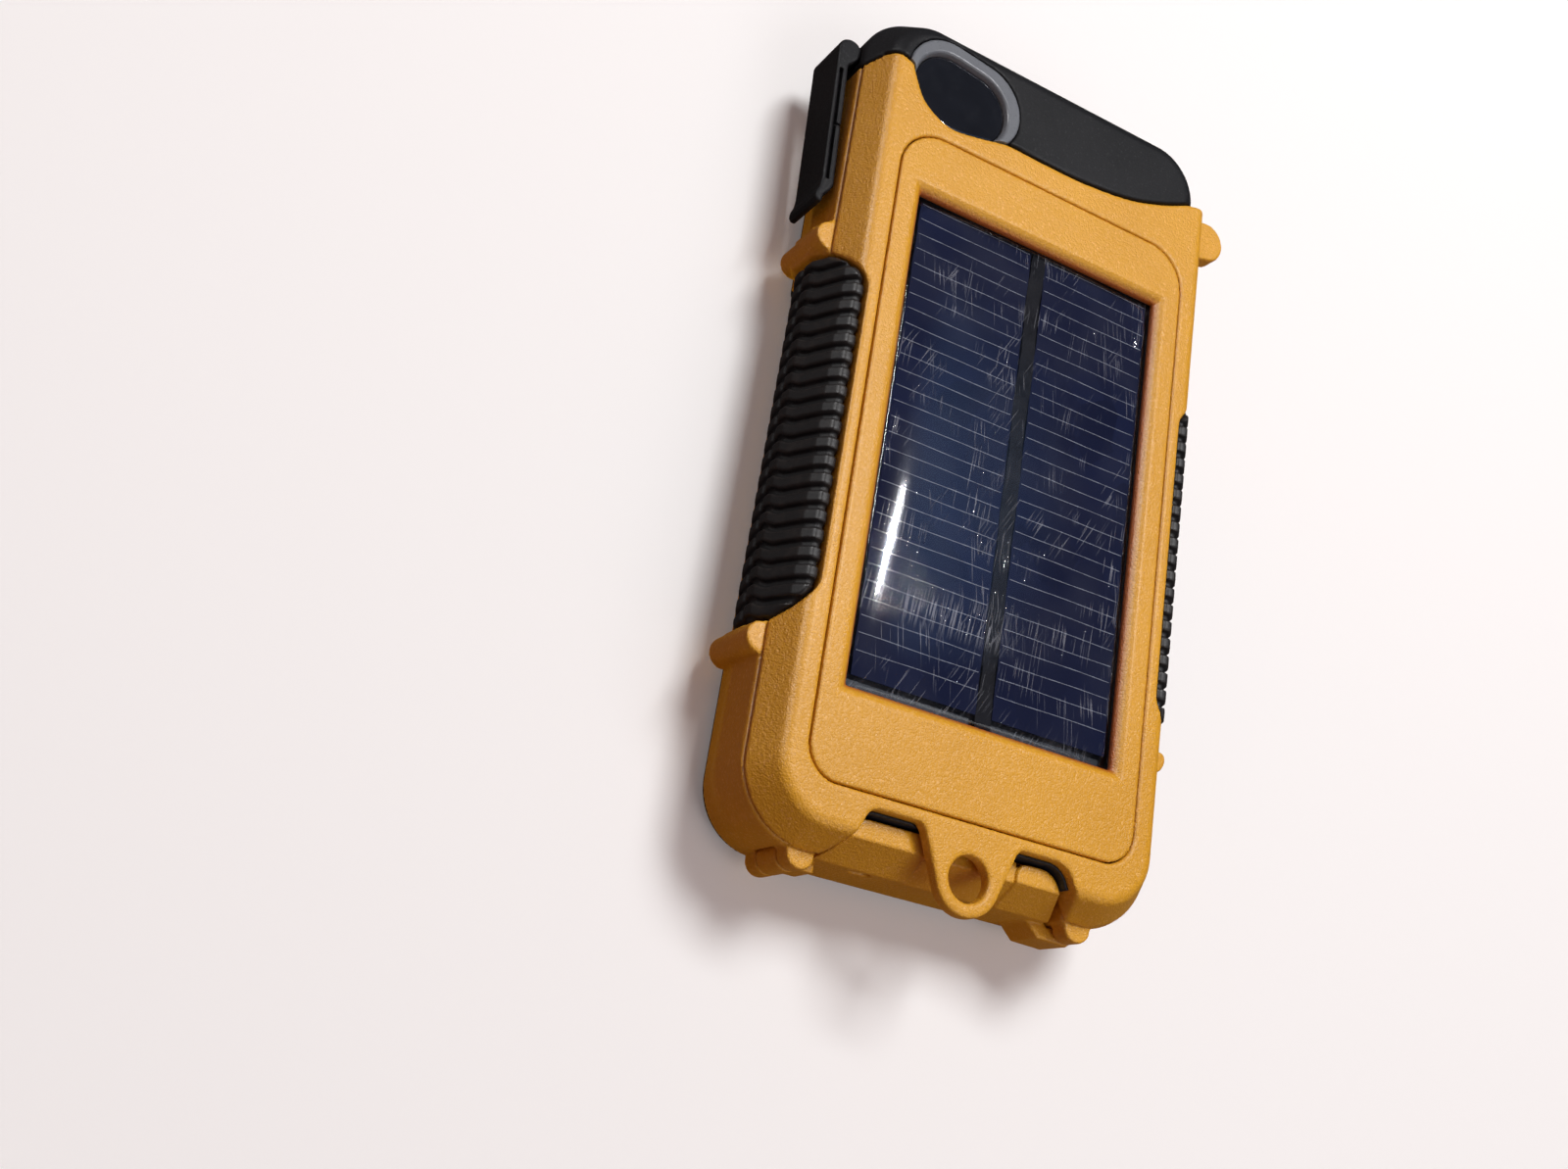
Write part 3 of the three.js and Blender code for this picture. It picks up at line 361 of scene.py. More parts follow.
def surface(grid, field):
    """The field's zero surface as points and quads: one point in each cell that the surface crosses."""
    field = np.ascontiguousarray(np.broadcast_to(field, tuple(len(a) for a in grid.axes)), np.float32)
    inside = field < 0
    cells, points = crossing_cells(grid, field, inside)
    index = np.full([n - 1 for n in field.shape], -1, np.int64)
    index[tuple(cells)] = np.arange(cells.shape[1])
    quads = []
    for axis in range(3):
        u, v = (axis + 1) % 3, (axis + 2) % 3
        first, second = [slice(None)] * 3, [slice(None)] * 3
        first[axis], second[axis] = slice(None, -1), slice(1, None)
        starts, ends = inside[tuple(first)], inside[tuple(second)]
        for edges, order in ((np.nonzero(starts & ~ends), 1), (np.nonzero(~starts & ends), -1)):
            ring = []
            for du, dv in ((1, 1), (0, 1), (0, 0), (1, 0)):
                where = [e.copy() for e in edges]
                where[u] -= du
                where[v] -= dv
                ring.append(index[tuple(where)])
            quads.append(np.stack(ring[::order], 1))
    return points, np.concatenate(quads)


# ---- Pieces ----

SLOT_OF = {}  # the CAD's slot for each material; the names that differ are below
OTHER_SLOTS = {"amber_plate_painted_shade": "amber_plastic", "finger_silver": "solar_silicon",
               "black_tape": "black_parts", "dark_parts": "black_parts", "brushed_steel": "steel"}


def make_piece(name, points, faces, material, node=None, smooth=True):
    """A mesh from points in the case frame that stands for a CAD node and rides on the same body."""
    mesh = bpy.data.meshes.new(name)
    co = np.asarray(points, np.float32) * MM + ORIGIN.astype(np.float32)
    faces = np.asarray(faces, np.int32)
    mesh.vertices.add(len(co))
    mesh.vertices.foreach_set("co", co.ravel())
    mesh.loops.add(faces.size)
    mesh.loops.foreach_set("vertex_index", faces.ravel())
    mesh.polygons.add(len(faces))
    mesh.polygons.foreach_set("loop_start", np.arange(0, faces.size, faces.shape[1], dtype=np.int32))
    mesh.update(calc_edges=True)
    mesh.validate()
    if smooth:
        mesh.shade_smooth()
    else:
        mesh.shade_flat()
    mesh.materials.append(material)
    piece = bpy.data.objects.new(name, mesh)
    bpy.context.scene.collection.objects.link(piece)
    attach(piece, frame["nodes"][node]["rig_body"] if node else "housing")
    if node:
        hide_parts(node)


def make_solid(node, suffix, grid, field, material):
    make_piece(f"{node}_{suffix}", *surface(grid, field), material, node)


def outside(grid, inset=0.0):
    """The outside form of the whole case; inset narrows it on the right, as the lid is."""
    z = grid.axes[2]
    spread = (-0.6, -0.3, 0, 0.3, 0.6)  # heights averaged, which softens the form's creases
    half, bottom, top, low, high = (
        sum(np.interp(z + s, FORM[:, 0], FORM[:, column]) for s in spread)[None, None, :] / len(spread)
        for column in range(1, 6))
    cx, cy = -inset / 2, (bottom + top) / 2
    radius = np.where(grid.y > cy, high, low).astype(np.float32)
    qx = np.abs(grid.x - cx) - (half - inset / 2) + radius
    qy = np.abs(grid.y - cy) - (top - bottom) / 2 + radius
    slope = np.gradient(half[0, 0], z)
    return (past_corner(qx, qy, radius) / np.sqrt(1 + slope**2)[None, None, :]).astype(np.float32)


def grip_opening(grid, grow=0.0):
    """The space of the right grip: its ends slope in towards the back face."""
    inset = grid.by_height((SEAM_Z, THICKNESS), (0, GRIP["slant"]))
    low, high = GRIP["low"] - grow + inset, GRIP["high"] + grow - inset
    fillet = GRIP["fillet"]
    qx = GRIP["edge"] - grow - grid.x + fillet
    qy = np.abs(grid.y - (low + high) / 2) - (high - low) / 2 + fillet
    return both(past_corner(qx, qy, fillet), 3.7 - grow - grid.z).astype(np.float32)


def grip_waist(g):
    """The step in the front edge below the right grip."""
    return both(g.front([(31.6, -2), (FAR, -2), (FAR, 3.9), (34.4, 3.9), (31.6, 0)]),
                g.along(GRIP["low"], GRIP["high"]))


def split_rise(grid):
    """How much higher the split between housing and lid runs on the outer flanks, up to the flap's edge."""
    height = grid.by_height((SEAM_Z, FLAP_Z), (0, 1.15))
    return height * np.clip((np.abs(grid.x) - 31.3) / 0.5, 0, 1)


def back_shell():
    g = Grid((-35.2, -68, 14.3), (35.2, 63.2, THICKNESS), 0.34)
    form = both(outside(g), g.z - THICKNESS, 0.9)
    shell = both(both(form, g.y - HOUSING_TOP - split_rise(g), 0.3), g.z - FLAP_Z)
    shell = either(shell, both(both(form, g.plan(below_shoulder()), 0.45), FLAP_Z - 0.2 - g.z))
    shell = both(shell, SEAM_Z + SEAM_GAP - g.z, 0.2)
    shell = less(shell, g.plan(door_notch()), 0.4)
    plate_pocket = g.plan(rounded(-28.15, 28.15, -54.65, 50.95, 5.3, 7.3))
    shell = less(shell, both(plate_pocket, PLATE["floor"] - 0.05 - g.z), 0.18)
    cover_seat = g.box(-25.5, 25.5, -42.5, 42.5, 17.55, FAR)
    battery_room = g.box(-23.4, 23.4, -40.4, 40.4, 0, FAR)
    board_room = g.box(-23, 23, -53.2, -45.2, 0, 19.3)
    side_rooms = both_sides(g, lambda s: s.box(26.9, 28.9, -39, 45, 0, 19.3))
    gasket_slot = g.box(-15.4, 14.4, -57, -55.6, SEAM_Z + 0.3, 19.4)
    tunnel = both(g.plan(slot(TUNNEL)), g.z - FLAP_Z)
    shell = less(shell, union(cover_seat, battery_room, board_room, side_rooms, gasket_slot, tunnel))
    shell = less(shell, both_sides(g, grip_opening), 0.45)
    loop = less(g.plan(loop_outline()), g.disc(0, LOOP["y"], LOOP["hole"]))
    shell = either(shell, both(both(loop, g.z - THICKNESS, 0.55), LOOP["bottom"] - g.z, 0.3))
    shell = either(shell, both(g.discs(SCREWS, 2), g.between(14.35, SEAM_Z + 1)))
    shell = less(shell, both(g.discs(SCREWS, 0.9), g.z - 18.2))
    make_solid("back_shell", "body", g, shell, AMBER)


def solar_bezel():
    """The raised amber plate; the walls of its window run down to the rim of the cover."""
    g = Grid((-28, -54.5, PLATE["skirt"]), (28, 50.8, THICKNESS), 0.3)
    outline = rounded(-PLATE["x"], PLATE["x"], PLATE["bottom"], PLATE["top"], 5, 7)
    plate = both(g.plan(outline), g.z - THICKNESS, 0.22)
    shrink = g.by_height((THICKNESS - WINDOW["deep"], THICKNESS), (WINDOW["slope"], 0))
    window = both(np.abs(g.x) - WINDOW["x"] + shrink, np.abs(g.y) - WINDOW["y"] + shrink) * 0.7
    skirt = g.box(-24.4, 24.4, -41.4, 41.4, PLATE["skirt"], PLATE["floor"] + 0.5)
    plate = either(both(plate, PLATE["floor"] - g.z), skirt)
    plate = less(plate, window.astype(np.float32), 0.35)
    make_solid("solar_bezel", "plate", g, plate, AMBER_PLATE_PAINTED_SHADE)


def solar_cover():
    """The clear cover: a flat rim under the bezel and a domed window with round shoulders."""
    x, y, low = DOME["x"], DOME["y"], DOME["low"]
    g = Grid((-25.3, -42.3, low), (25.3, 42.3, 21.2), 0.3)
    crown = (DOME["top"] - 0.75 * np.abs(g.x / x) ** 5 - 0.12 * (g.x / x) ** 2
             - 0.6 * np.abs(g.y / y) ** 12)
    dome = both(g.plan(rounded(-x, x, -y, y, 1.6)), g.z - crown, 0.7)
    rim = g.box(-25.2, 25.2, -42.2, 42.2, low, DOME["rim"])
    make_solid("solar_cover", "dome", g, either(both(dome, low - g.z), rim), EPOXY)


def flank_boss(g, x, y, z0=4.2):
    return both(both(g.disc(x, y, 2.4), g.z - SEAM_Z + SEAM_GAP, 0.25), z0 - g.z, 0.3)


def grip_guards(g):
    """The raised blocks that guard both ends of the right grip."""
    outline = g.front([(32, 5), (35.2, 5), (36.6, 7), (36.6, 12.6), (35.2, 16.3), (32, 16.3)])
    return either(both(outline, g.along(26.9, 32.6), 0.5), both(outline, g.along(-36.2, -33.5), 0.5))


def knuckle_pair(g, plan, r):
    return union(*(g.slab(plan, KNUCKLES[level], r) for level in ("low", "high")))


def lid_knuckles(g):
    arm = [(33, 56.8), (SIDE_X, 56.8), (38.6, 57.7), (LID_PIN["x"], LID_PIN["y"]), (35.4, 61.2), (33, 61.2)]
    return knuckle_pair(g, either(g.plan(arm), g.about(LID_PIN, "knuckle")), 0.4)


def front_cuts(g):
    """Everything that is cut out of the front shell with nearly sharp edges."""
    phone_bay = g.box(-BAY["x"], BAY["x"], BAY["bottom"], FAR, 0, BAY["back"] + 1)
    chamber = g.plan(rounded(-CHAMBER["x"], CHAMBER["x"], CHAMBER["bottom"], FAR, 2))
    board_room = g.box(-27.4, 27.4, CHAMBER["bottom"], -47.1, 3.7, BAY["back"] + 1)
    dock_mouth = g.box(-12, 12, -48, BAY["bottom"] + 1, 5, 9)
    usb_mouth = g.box(-4.4, 4.4, -58, -54.4, 8.8, 13.2)
    latch_pocket = g.box(-36, -34.05, 41.5, 45.2, 7, 13)
    cuts = [phone_bay, both(chamber, BAY["back"] - g.z), board_room, dock_mouth, usb_mouth,
            both_sides(g, grip_waist), latch_pocket]
    for pin in (LID_PIN, DOOR_PIN):
        cuts.append(both(g.about(pin, "barrel", 0.4), g.between(7, 13)))
        cuts.append(both(g.about(pin, "bore"), g.z - BORE_END))
    lights = g.discs(LIGHTS, LIGHT_HOLE)
    cuts.append(both(either(g.disc(CHECK_X, CHIN_Y, 1.3), lights), g.z - 12))
    z = SIDE_BUTTON_Z
    for y in VOLUME_Y:
        cuts.append(both(g.side(rounded(y - 3.8, y + 3.8, z - 2.1, z + 2.1, 2)), 32.4 - g.x))
        cuts.append(g.box(28, 33, y - 2.3, y + 2.3, z - 1.3, z + 1.3))
    return union(*cuts)


def front_shell():
    g = Grid((-38, -66.5, BEZEL_Z), (41.2, 65.2, SEAM_Z), 0.36)
    shell = both(both(outside(g), g.y - HOUSING_TOP, 0.25), g.z - SEAM_Z + SEAM_GAP, 0.2)
    door_knuckles = knuckle_pair(g, g.about(DOOR_PIN, "barrel"), 0.25)
    shell = either(shell, union(
        flank_boss(g, -SIDE_X, 29.65), flank_boss(g, -SIDE_X, -35.8), flank_boss(g, SIDE_X, -34.5),
        flank_boss(g, 23.7, -63.6, 12.9), lid_knuckles(g), both_sides(g, grip_guards), door_knuckles),
        0.25)
    shell = both(shell, BEZEL_Z + 0.1 - g.z)
    recess = g.plan([(-21.6, -68.6), (21.7, -68.6), (19.6, PORT_WALL_Y), (-21.6, PORT_WALL_Y)])
    shell = less(shell, recess, 0.35)
    shell = less(shell, both_sides(g, lambda s: both(grip_opening(s), 31.0 - s.x)), 0.35)
    make_solid("front_shell", "body", g, less(shell, front_cuts(g), 0.12), AMBER)


def front_bezel():
    g = Grid((-35.3, -64, 0), (35.3, 61.5, BEZEL_Z), 0.34)
    plate = both(both(outside(g), g.y - HOUSING_TOP, 0.25), -g.z, 0.6)
    plate = both(plate, g.z - BEZEL_Z)
    plate = less(plate, both_sides(g, grip_waist), 0.3)
    screen = g.plan(rounded(-26, 26, -26.1, 50.9, 2.5)) + g.by_height((0, 1.2), (0, 1))
    plate = less(plate, screen, 0.3)
    holes = union(g.disc(0, HOME["y"], HOME["radius"] + GAP), g.disc(CHECK_X, CHIN_Y, 2.6),
                  g.discs(LIGHTS, LIGHT_HOLE))
    plate = less(plate, holes, 0.25)
    gasket_outside = g.plan(rounded(-28.3, 28.3, -44.7, 53.3, 3))
    gasket_inside = g.plan(rounded(-26.9, 26.9, -43.3, 51.9, 2))
    plate = less(plate, both(less(gasket_outside, gasket_inside), 1.55 - g.z))
    make_solid("front_bezel", "frame", g, plate, BLACK)


def grips():
    """Both rubber grips: rounded ribs across the shoulder that turn into a wavy tread on the flank."""
    g = Grid((30.3, -33.2, 3.9), (36.6, 26.6, 21.9), 0.2)
    core = [(29.5, 5.2), (33.4, 5.2), (35.35, 8.7), (35.35, 13.2), (32.75, 19.4), (31.7, 20.7), (29.5, 20.6)]
    skin = g.front(core) - 0.95
    flank = np.clip((16.2 - g.z) / 3, 0, 1)
    wave = 0.8 * np.sin((g.z - 4.0) * 2 * math.pi / 11) * flank
    middle = (GRIP["low"] + GRIP["high"]) / 2
    phase = (g.y - middle + wave) * 2 * math.pi / GRIP["pitch"]
    flat_top = np.clip((np.cos(phase) + 0.82) / 0.75, 0, 1)
    rib = flat_top * flat_top * (3 - 2 * flat_top)
    channel = np.exp(-((g.z - 10.6) / 0.45) ** 2)
    depth = 0.75 * (1 - rib) + 0.4 * channel
    body = both(both(skin + depth, grip_opening(g, -GAP), 0.8), 30.5 - g.x)
    body = both(body, either(31.2 - g.x, SEAM_Z + 0.3 - g.z))
    points, faces = surface(g, body)
    make_piece("grip_right_tread", points, faces, RUBBER, "grip_right")
    make_piece("grip_left_tread", points * (-1, 1, 1), faces[:, ::-1], RUBBER, "grip_left")


def lid_form(g):
    """The lid's outside: a cap up to the flap's height, and the flap above it that follows the shoulder."""
    above = g.plan(above_shoulder())
    form = both(both(outside(g, LID_INSET), g.z - THICKNESS, 1.3), -g.z, 0.8)
    past_split = LID_EDGE + split_rise(g) - g.y
    cap = both(both(form, past_split, 0.3), g.z - FLAP_Z + 0.1)
    flap = both(both(form, above, 0.3), FLAP_Z + 0.2 - g.z)
    between = both(both(form, above), both(past_split, g.between(FLAP_Z - 1, FLAP_Z + 1)))
    return union(cap, flap, between)


def seal_groove(g):
    """The groove round the lid's mouth, broken where the camera window comes through."""
    ring = less(g.front(rect(-31.3, 31.3, 0.9, 18.7)), g.front(rect(-29.9, 29.9, 2.1, 17.5)))
    return both(both(ring, g.y - LID_EDGE - 0.95), either(g.z - 15, -7.2 - g.x))


def top_lid():
    g = Grid((-36, 53, 0), (40.5, 73.6, THICKNESS), 0.3)
    x, y, z = LID_PIN["x"], LID_PIN["y"], SIDE_BUTTON_Z
    arm = g.plan([(30.6, 61.7), (35.6, 61.7), (x, y), (39.5, 63.2), (33.6, 69.4), (30.6, 69.4)])
    barrel = either(arm, g.about(LID_PIN, "barrel"))
    lid = either(lid_form(g), g.slab(barrel, KNUCKLES["middle"], 0.3), 0.3)
    relief = both(g.about(LATCH_PIN, "barrel", 0.35), g.between(6, 15.5))
    lug = arc(LATCH_PIN["x"], LATCH_PIN["y"], LATCH_PIN["lug"], 90, 270) + [(-33.4, 62.8), (-33.4, 65.8)]
    lid = either(less(lid, relief, 0.25), both(g.plan(lug), g.between(7.6, 12.4)))
    phone_bay = g.box(-BAY["x"], BAY["x"], -FAR, BAY["top"], BAY["front"], BAY["back"])
    earpiece = g.box(-8, 8, 64.6, 66.4, -1, 2.75)
    button_stem = g.box(POWER_X - 2.8, POWER_X + 2.8, BAY["top"] - 1, 72, z - 1.2, z + 1.2)
    lid = less(lid, union(
        phone_bay, earpiece, both(g.plan(slot(TUNNEL)), BAY["back"] - 1 - g.z),
        both(g.about(LID_PIN, "bore"), g.between(-1, 13)),
        both(g.about(LATCH_PIN, "bore"), g.between(-1, 14)), button_stem), 0.12)
    lid = less(lid, both(g.plan(slot(RING, 0.12)), LENS_Z[0] - 0.05 - g.z), 0.15)
    button = g.front(rounded(POWER_X - 4.5, POWER_X + 4.5, z - 1.9, z + 1.9, 1.8))
    lid = less(lid, both(button, 71.4 - g.y), 0.2)
    make_solid("top_lid", "body", g, less(lid, seal_groove(g)), BLACK)


def camera_ring():
    g = Grid((-30, 53, LENS_Z[0]), (-6.5, 69.5, THICKNESS), 0.14)
    ring = both(both(g.plan(slot(RING)), g.z - THICKNESS, 0.35), g.plan(above_shoulder()), 0.15)
    ring = less(ring, g.plan(slot(LENS)) - 0.5 * both(g.z - LENS_Z[1], 0), 0.3)
    make_solid("camera_ring", "trim", g, both(ring, LENS_Z[0] - g.z), RING_GREY)


def camera_window():
    g = Grid((-28.5, 53, LENS_Z[0]), (-9.5, 67, 21.3), 0.14)
    glass = both(both(g.plan(slot(LENS, -0.12)), g.plan(above_shoulder()), 0.1), g.z - LENS_Z[1], 0.2)
    make_solid("camera_window", "glass", g, both(glass, LENS_Z[0] - g.z), LENS_GLASS)


def latch_lever():
    g = Grid((-39, 35, LATCH_Z[0]), (-34.2, 66.6, LATCH_Z[1]), 0.16)
    x, y, radius = LATCH_PIN["x"], LATCH_PIN["y"], LATCH_PIN["barrel"]
    outline = arc(x, y, radius, 0, 180, 24) + [
        (-38.6, 62), (-37.7, 39.6), (-37.85, 38.2), (-38.3, 36.9), (-38.3, 36.1), (-37.9, 35.5),
        (-37.1, 35.5), (-36.95, 36.8), (-35.9, 38.2), (-35.5, 39.2), (-36.5, 61.5), (x + radius, y - 0.6),
    ]
    body = g.slab(g.plan(outline), LATCH_Z, 0.45)
    channel = g.plan([(-37.15, 39.9), (-36.55, 39.9), (-37.35, 60.4), (-37.95, 60.4)])
    joint = g.plan([(-36.9, 49.9), (-35, 49.9), (-35, 50.2), (-36.9, 50.2)])
    body = less(body, both(channel, LATCH_Z[1] - 0.9 - g.z), 0.18)
    body = less(body, both(joint, LATCH_Z[1] - 0.6 - g.z), 0.1)
    nose = g.plan([(-36, 42), (-35.2, 43.2), (-35.2, 44), (-36, 45)])
    body = either(body, both(nose, g.between(8, 12)))
    swing = either(g.plan([(x, y)] + arc(x, y, 4, -70, 155, 12)), g.disc(x, y, 1.5))
    body = less(body, both(swing, g.between(*KNUCKLES["middle"])))
    body = less(body, both(g.about(LATCH_PIN, "bore"), g.z - 14.3))
    make_solid("latch_lever", "body", g, body, BLACK)


def door_cover(g, inside):
    """The hollow shell of the port door, with its two tabs and the lower strip between them."""
    front, bottom, wall = DOOR["front"], DOOR["bottom"], DOOR["wall"]

    def section(upper):
        return g.side([(front + 0.8, bottom), (inside, bottom), (inside, upper), (inside - 3, upper),
                       (front, upper - 5), (front, bottom + 0.8)])

    ends = g.plan([(DOOR["left"], -64.6), (20.6, -64.6), (19.2, inside), (DOOR["left"], inside)])
    cover = both(section(DOOR["top"]), ends, 0.3)
    left_tab = g.plan(arc(-15.4, inside - 1.8, 1.8, 90, 150, 6) + [(x + 0.6, y) for x, y in NOTCH_SLOPE]
                      + [(-5.4, -64.6)] + arc(-7.4, inside - 2, 2, 0, 90))
    right_tab = g.plan(arc(12, inside - 2, 2, 90, 180) + [(10, -64.6), (20.8, -64.6)]
                       + arc(14.1, inside - 3.9, 3.9, 20, 90))
    cover = union(cover, both(section(DOOR["tab"]), either(left_tab, right_tab), 0.35),
                  both(section(DOOR["tab"] - 0.6), both(-5.6 - g.x, g.x - 10.2), 0.3))
    top = DOOR["top"] - wall
    hollow = g.side([(front + wall, bottom + wall), (0, bottom + wall), (0, top), (inside - 3, top),
                     (front + wall, DOOR["top"] - 5)])
    return less(cover, both(hollow, both(DOOR["left"] + wall - g.x, g.x - 18)), 0.15)


def port_door():
    g = Grid((-26.2, -66.3, DOOR["bottom"]), (26.2, -57, DOOR["tab"]), 0.22)
    x, y = DOOR_PIN["x"], DOOR_PIN["y"]
    arm = g.plan([(x, y - 1.6), (-19.5, y - 1.6), (-19.5, -61.9), (-20.8, -61.9), (x, y + 0.8)])
    arm = g.slab(either(arm, g.about(DOOR_PIN, "barrel")), KNUCKLES["middle"], 0.25)
    lip = g.plan([(15.6, -63), (17.4, -64), (19.4, -65.9), (24.9, -66.1), (25.9, -65.3), (25.9, -64.2),
                  (21, -63.9), (20, -63)])
    lip = g.slab(lip, (5.4, 12.5), 0.5)
    door = either(door_cover(g, PORT_WALL_Y - 0.2), either(arm, lip), 0.2)
    door = less(door, both(g.front(rounded(-13.6, -10.4, 11.6, 13.2, 0.75)), g.y + 60), 0.12)
    door = less(door, both(g.about(DOOR_PIN, "bore"), g.z - 15))
    make_solid("port_door", "cover", g, door, AMBER)


def port_gasket():
    """The rubber lip in the two notches; its dark line round the door's tabs is partly seal, partly painted
    shade.
    """
    g = Grid((-18, -60, 16.7), (19.6, -55.6, 20.4), 0.14)
    notch = g.plan(door_notch())
    lip = less(notch + 0.02, notch + 0.42)
    lip = both(both(lip, -17.6 - g.x), both(-59.7 - g.y, g.between(16.7, 20.3)))
    # the root strip fills the shaded gap behind the door's tabs: a dark sheet that paints the shade there
    root = g.box(-15.2, 14.2, -56.9, -55.7, 16.8, 19.3)
    under_loop = both(g.plan(loop_outline()) - 0.25, LOOP["bottom"] - 0.2 - g.z)
    make_solid("port_gasket", "lip", g, less(either(lip, root), under_loop), SEAL)


def home_button():
    y, front, back = HOME["y"], 0.4, 1.6
    g = Grid((-5.4, y - 5.4, front), (5.4, y + 5.4, back), 0.16)
    button = both(both(g.disc(0, y, HOME["radius"]), front - g.z, 0.3), g.z - back, 0.1)
    bowl = both(g.disc(0, y, 4.3), g.z - 0.72 + 0.018 * (g.x ** 2 + (g.y - y) ** 2))
    make_solid("home_button", "pad", g, less(button, bowl, 0.2), RUBBER)


def check_button():
    """A small cap with a long stem that reaches the switch on the charge board."""
    x, y, front, end = CHECK_X, CHIN_Y, 0.4, 11.4
    g = Grid((x - 2.4, y - 2.4, front), (x + 2.4, y + 2.4, end), 0.16)
    cap = both(both(g.disc(x, y, 2.3), front - g.z, 0.4), g.z - 1.7, 0.1)
    stem = both(g.disc(x, y, 1), g.between(1, end), 0.2)
    make_solid("check_button", "pad", g, either(cap, stem, 0.2), RUBBER)


def ridges(along, outward, height, start, rise):
    """Fine ridges across a key's outer face."""
    wave = both(np.cos(along * 2 * math.pi / RIDGE_PITCH), 0)
    return height * wave * np.clip((outward - start) / rise, 0, 1)


def volume_button(node, y):
    z = SIDE_BUTTON_Z
    g = Grid((30, y - 3.6, z - 1.9), (35.8, y + 3.6, z + 1.9), 0.16)
    cap = both(both(g.side(rounded(y - 3.5, y + 3.5, z - 1.8, z + 1.8, 1.75)), g.x - 35.7, 0.6), 33.2 - g.x)
    cap = cap + ridges(g.y - y, g.x, 0.18, 35, 0.5)
    stem = g.box(30.1, 33.5, y - 2, y + 2, z - 1, z + 1)
    make_solid(node, "cap", g, either(cap, stem), RUBBER)


def power_button():
    x, z = POWER_X, SIDE_BUTTON_Z
    g = Grid((x - 4.3, 71.1, z - 1.7), (x + 4.3, 73.5, z + 1.7), 0.16)
    cap = both(g.front(rounded(x - 4.2, x + 4.2, z - 1.6, z + 1.6, 1.55)), g.y - 73.5, 0.5)
    cap = both(cap, 72.1 - g.y) + ridges(g.x - x, g.y, 0.15, 73, 0.4)
    stem = g.box(x - 2.5, x + 2.5, 71.1, 72.3, z - 0.9, z + 0.9)
    make_solid("power_button", "cap", g, either(cap, stem), RUBBER)


def hinge_pin(node, pin, low, high):
    """A steel pin with chamfered ends; its end faces close on a tiny centre dimple."""
    radius, chamfer, steps = pin["pin"], 0.2, 48
    profile = [(0.01, low + 0.08), (radius - chamfer, low), (radius, low + chamfer),
               (radius, high - chamfer), (radius - chamfer, high), (0.01, high - 0.08)]
    points = [(pin["x"] + r * math.cos(a), pin["y"] + r * math.sin(a), z) for r, z in profile
              for a in (2 * math.pi * i / steps for i in range(steps))]
    faces = [(k * steps + i, k * steps + j, (k + 1) * steps + j, (k + 1) * steps + i)
             for k in range(len(profile) - 1) for i, j in ((i, (i + 1) % steps) for i in range(steps))]
    make_piece(node + "_turned", points, faces, STEEL, node)


def tray_screw(node, x, y):
    """A cross-head screw: domed head with a cross recess, and a threaded shank."""
    end, thread_pitch = 17.9, 0.6
    g = Grid((x - 1.7, y - 1.7, 12.3), (x + 1.7, y + 1.7, end), 0.11)
    radius = g.disc(x, y, 0)
    head = both(radius - 1.6, both(12.35 + 0.09 * radius ** 2 - g.z, g.z - 13.3), 0.15)
    u, v = np.abs(g.x - x), np.abs(g.y - y)
    cross = either(both(u - 1.05, v - 0.22), both(v - 1.05, u - 0.22))
    head = less(head, both(cross, g.z - 12.95), 0.05)
    turn = np.arctan2(g.y - y, g.x - x) / (2 * math.pi)
    thread = 0.16 * np.abs(((g.z / thread_pitch + turn) % 1) * 2 - 1)
    shank = both(radius - 0.8 + thread, g.between(13, end), 0.1)
    make_solid(node, "steel", g, either(head, shank), STEEL)


# ---- Solar panel details ----

# The cells lie where they look to lie through the clear epoxy, which is nearer than they are.
FINGERS = {"pitch": 2.65, "width": 0.11, "height": 0.04, "first": -34.3, "last": 40.0}
CELLS = {"left": (-22.1, -0.7), "right": (2.2, 23.05), "bottom": -38.1, "top": 40.1, "thick": (19.15, 19.4)}
CELL_TOP = 19.41
BUSBAR = {"left": -0.56, "right": 2.04, "bottom": -39.9, "top": 40.1}


def ribbon(left, right, bottom, top):
    """A thin closed strip: left and right edge points along it, between two heights."""
    n = len(left)
    points = [(*p, z) for z in (bottom, top) for side in (left, right) for p in side]
    faces = []
    for i in range(n - 1):
        a, b, c, d = i, i + 1, n + i + 1, n + i
        faces += [(a, b, c, d), (2 * n + d, 2 * n + c, 2 * n + b, 2 * n + a),
                  (a, 2 * n + a, 2 * n + b, b), (c, 2 * n + c, 2 * n + d, d)]
    for i, j in ((n, 0), (n - 1, 2 * n - 1)):
        faces.append((i, j, 2 * n + j, 2 * n + i))
    return points, [f[::-1] for f in faces]


def solar_cells():
    """The two half cells: thin wafers whose sawn edges wander a little."""
    for name in ("left", "right"):
        x0, x1 = CELLS[name]
        ys = np.linspace(CELLS["bottom"], CELLS["top"], 80)
        left = x0 + 0.05 * np.sin(ys * 0.8) + 0.03 * np.sin(ys * 3.1)
        right = x1 + 0.05 * np.sin(ys * 0.7 + 2) + 0.03 * np.sin(ys * 2.7)
        points, faces = ribbon(list(zip(left, ys)), list(zip(right, ys)), *CELLS["thick"])
        make_piece("solar_wafer_" + name, points, [face[::-1] for face in faces], SILICON,
                   "solar_cell_" + name, smooth=False)


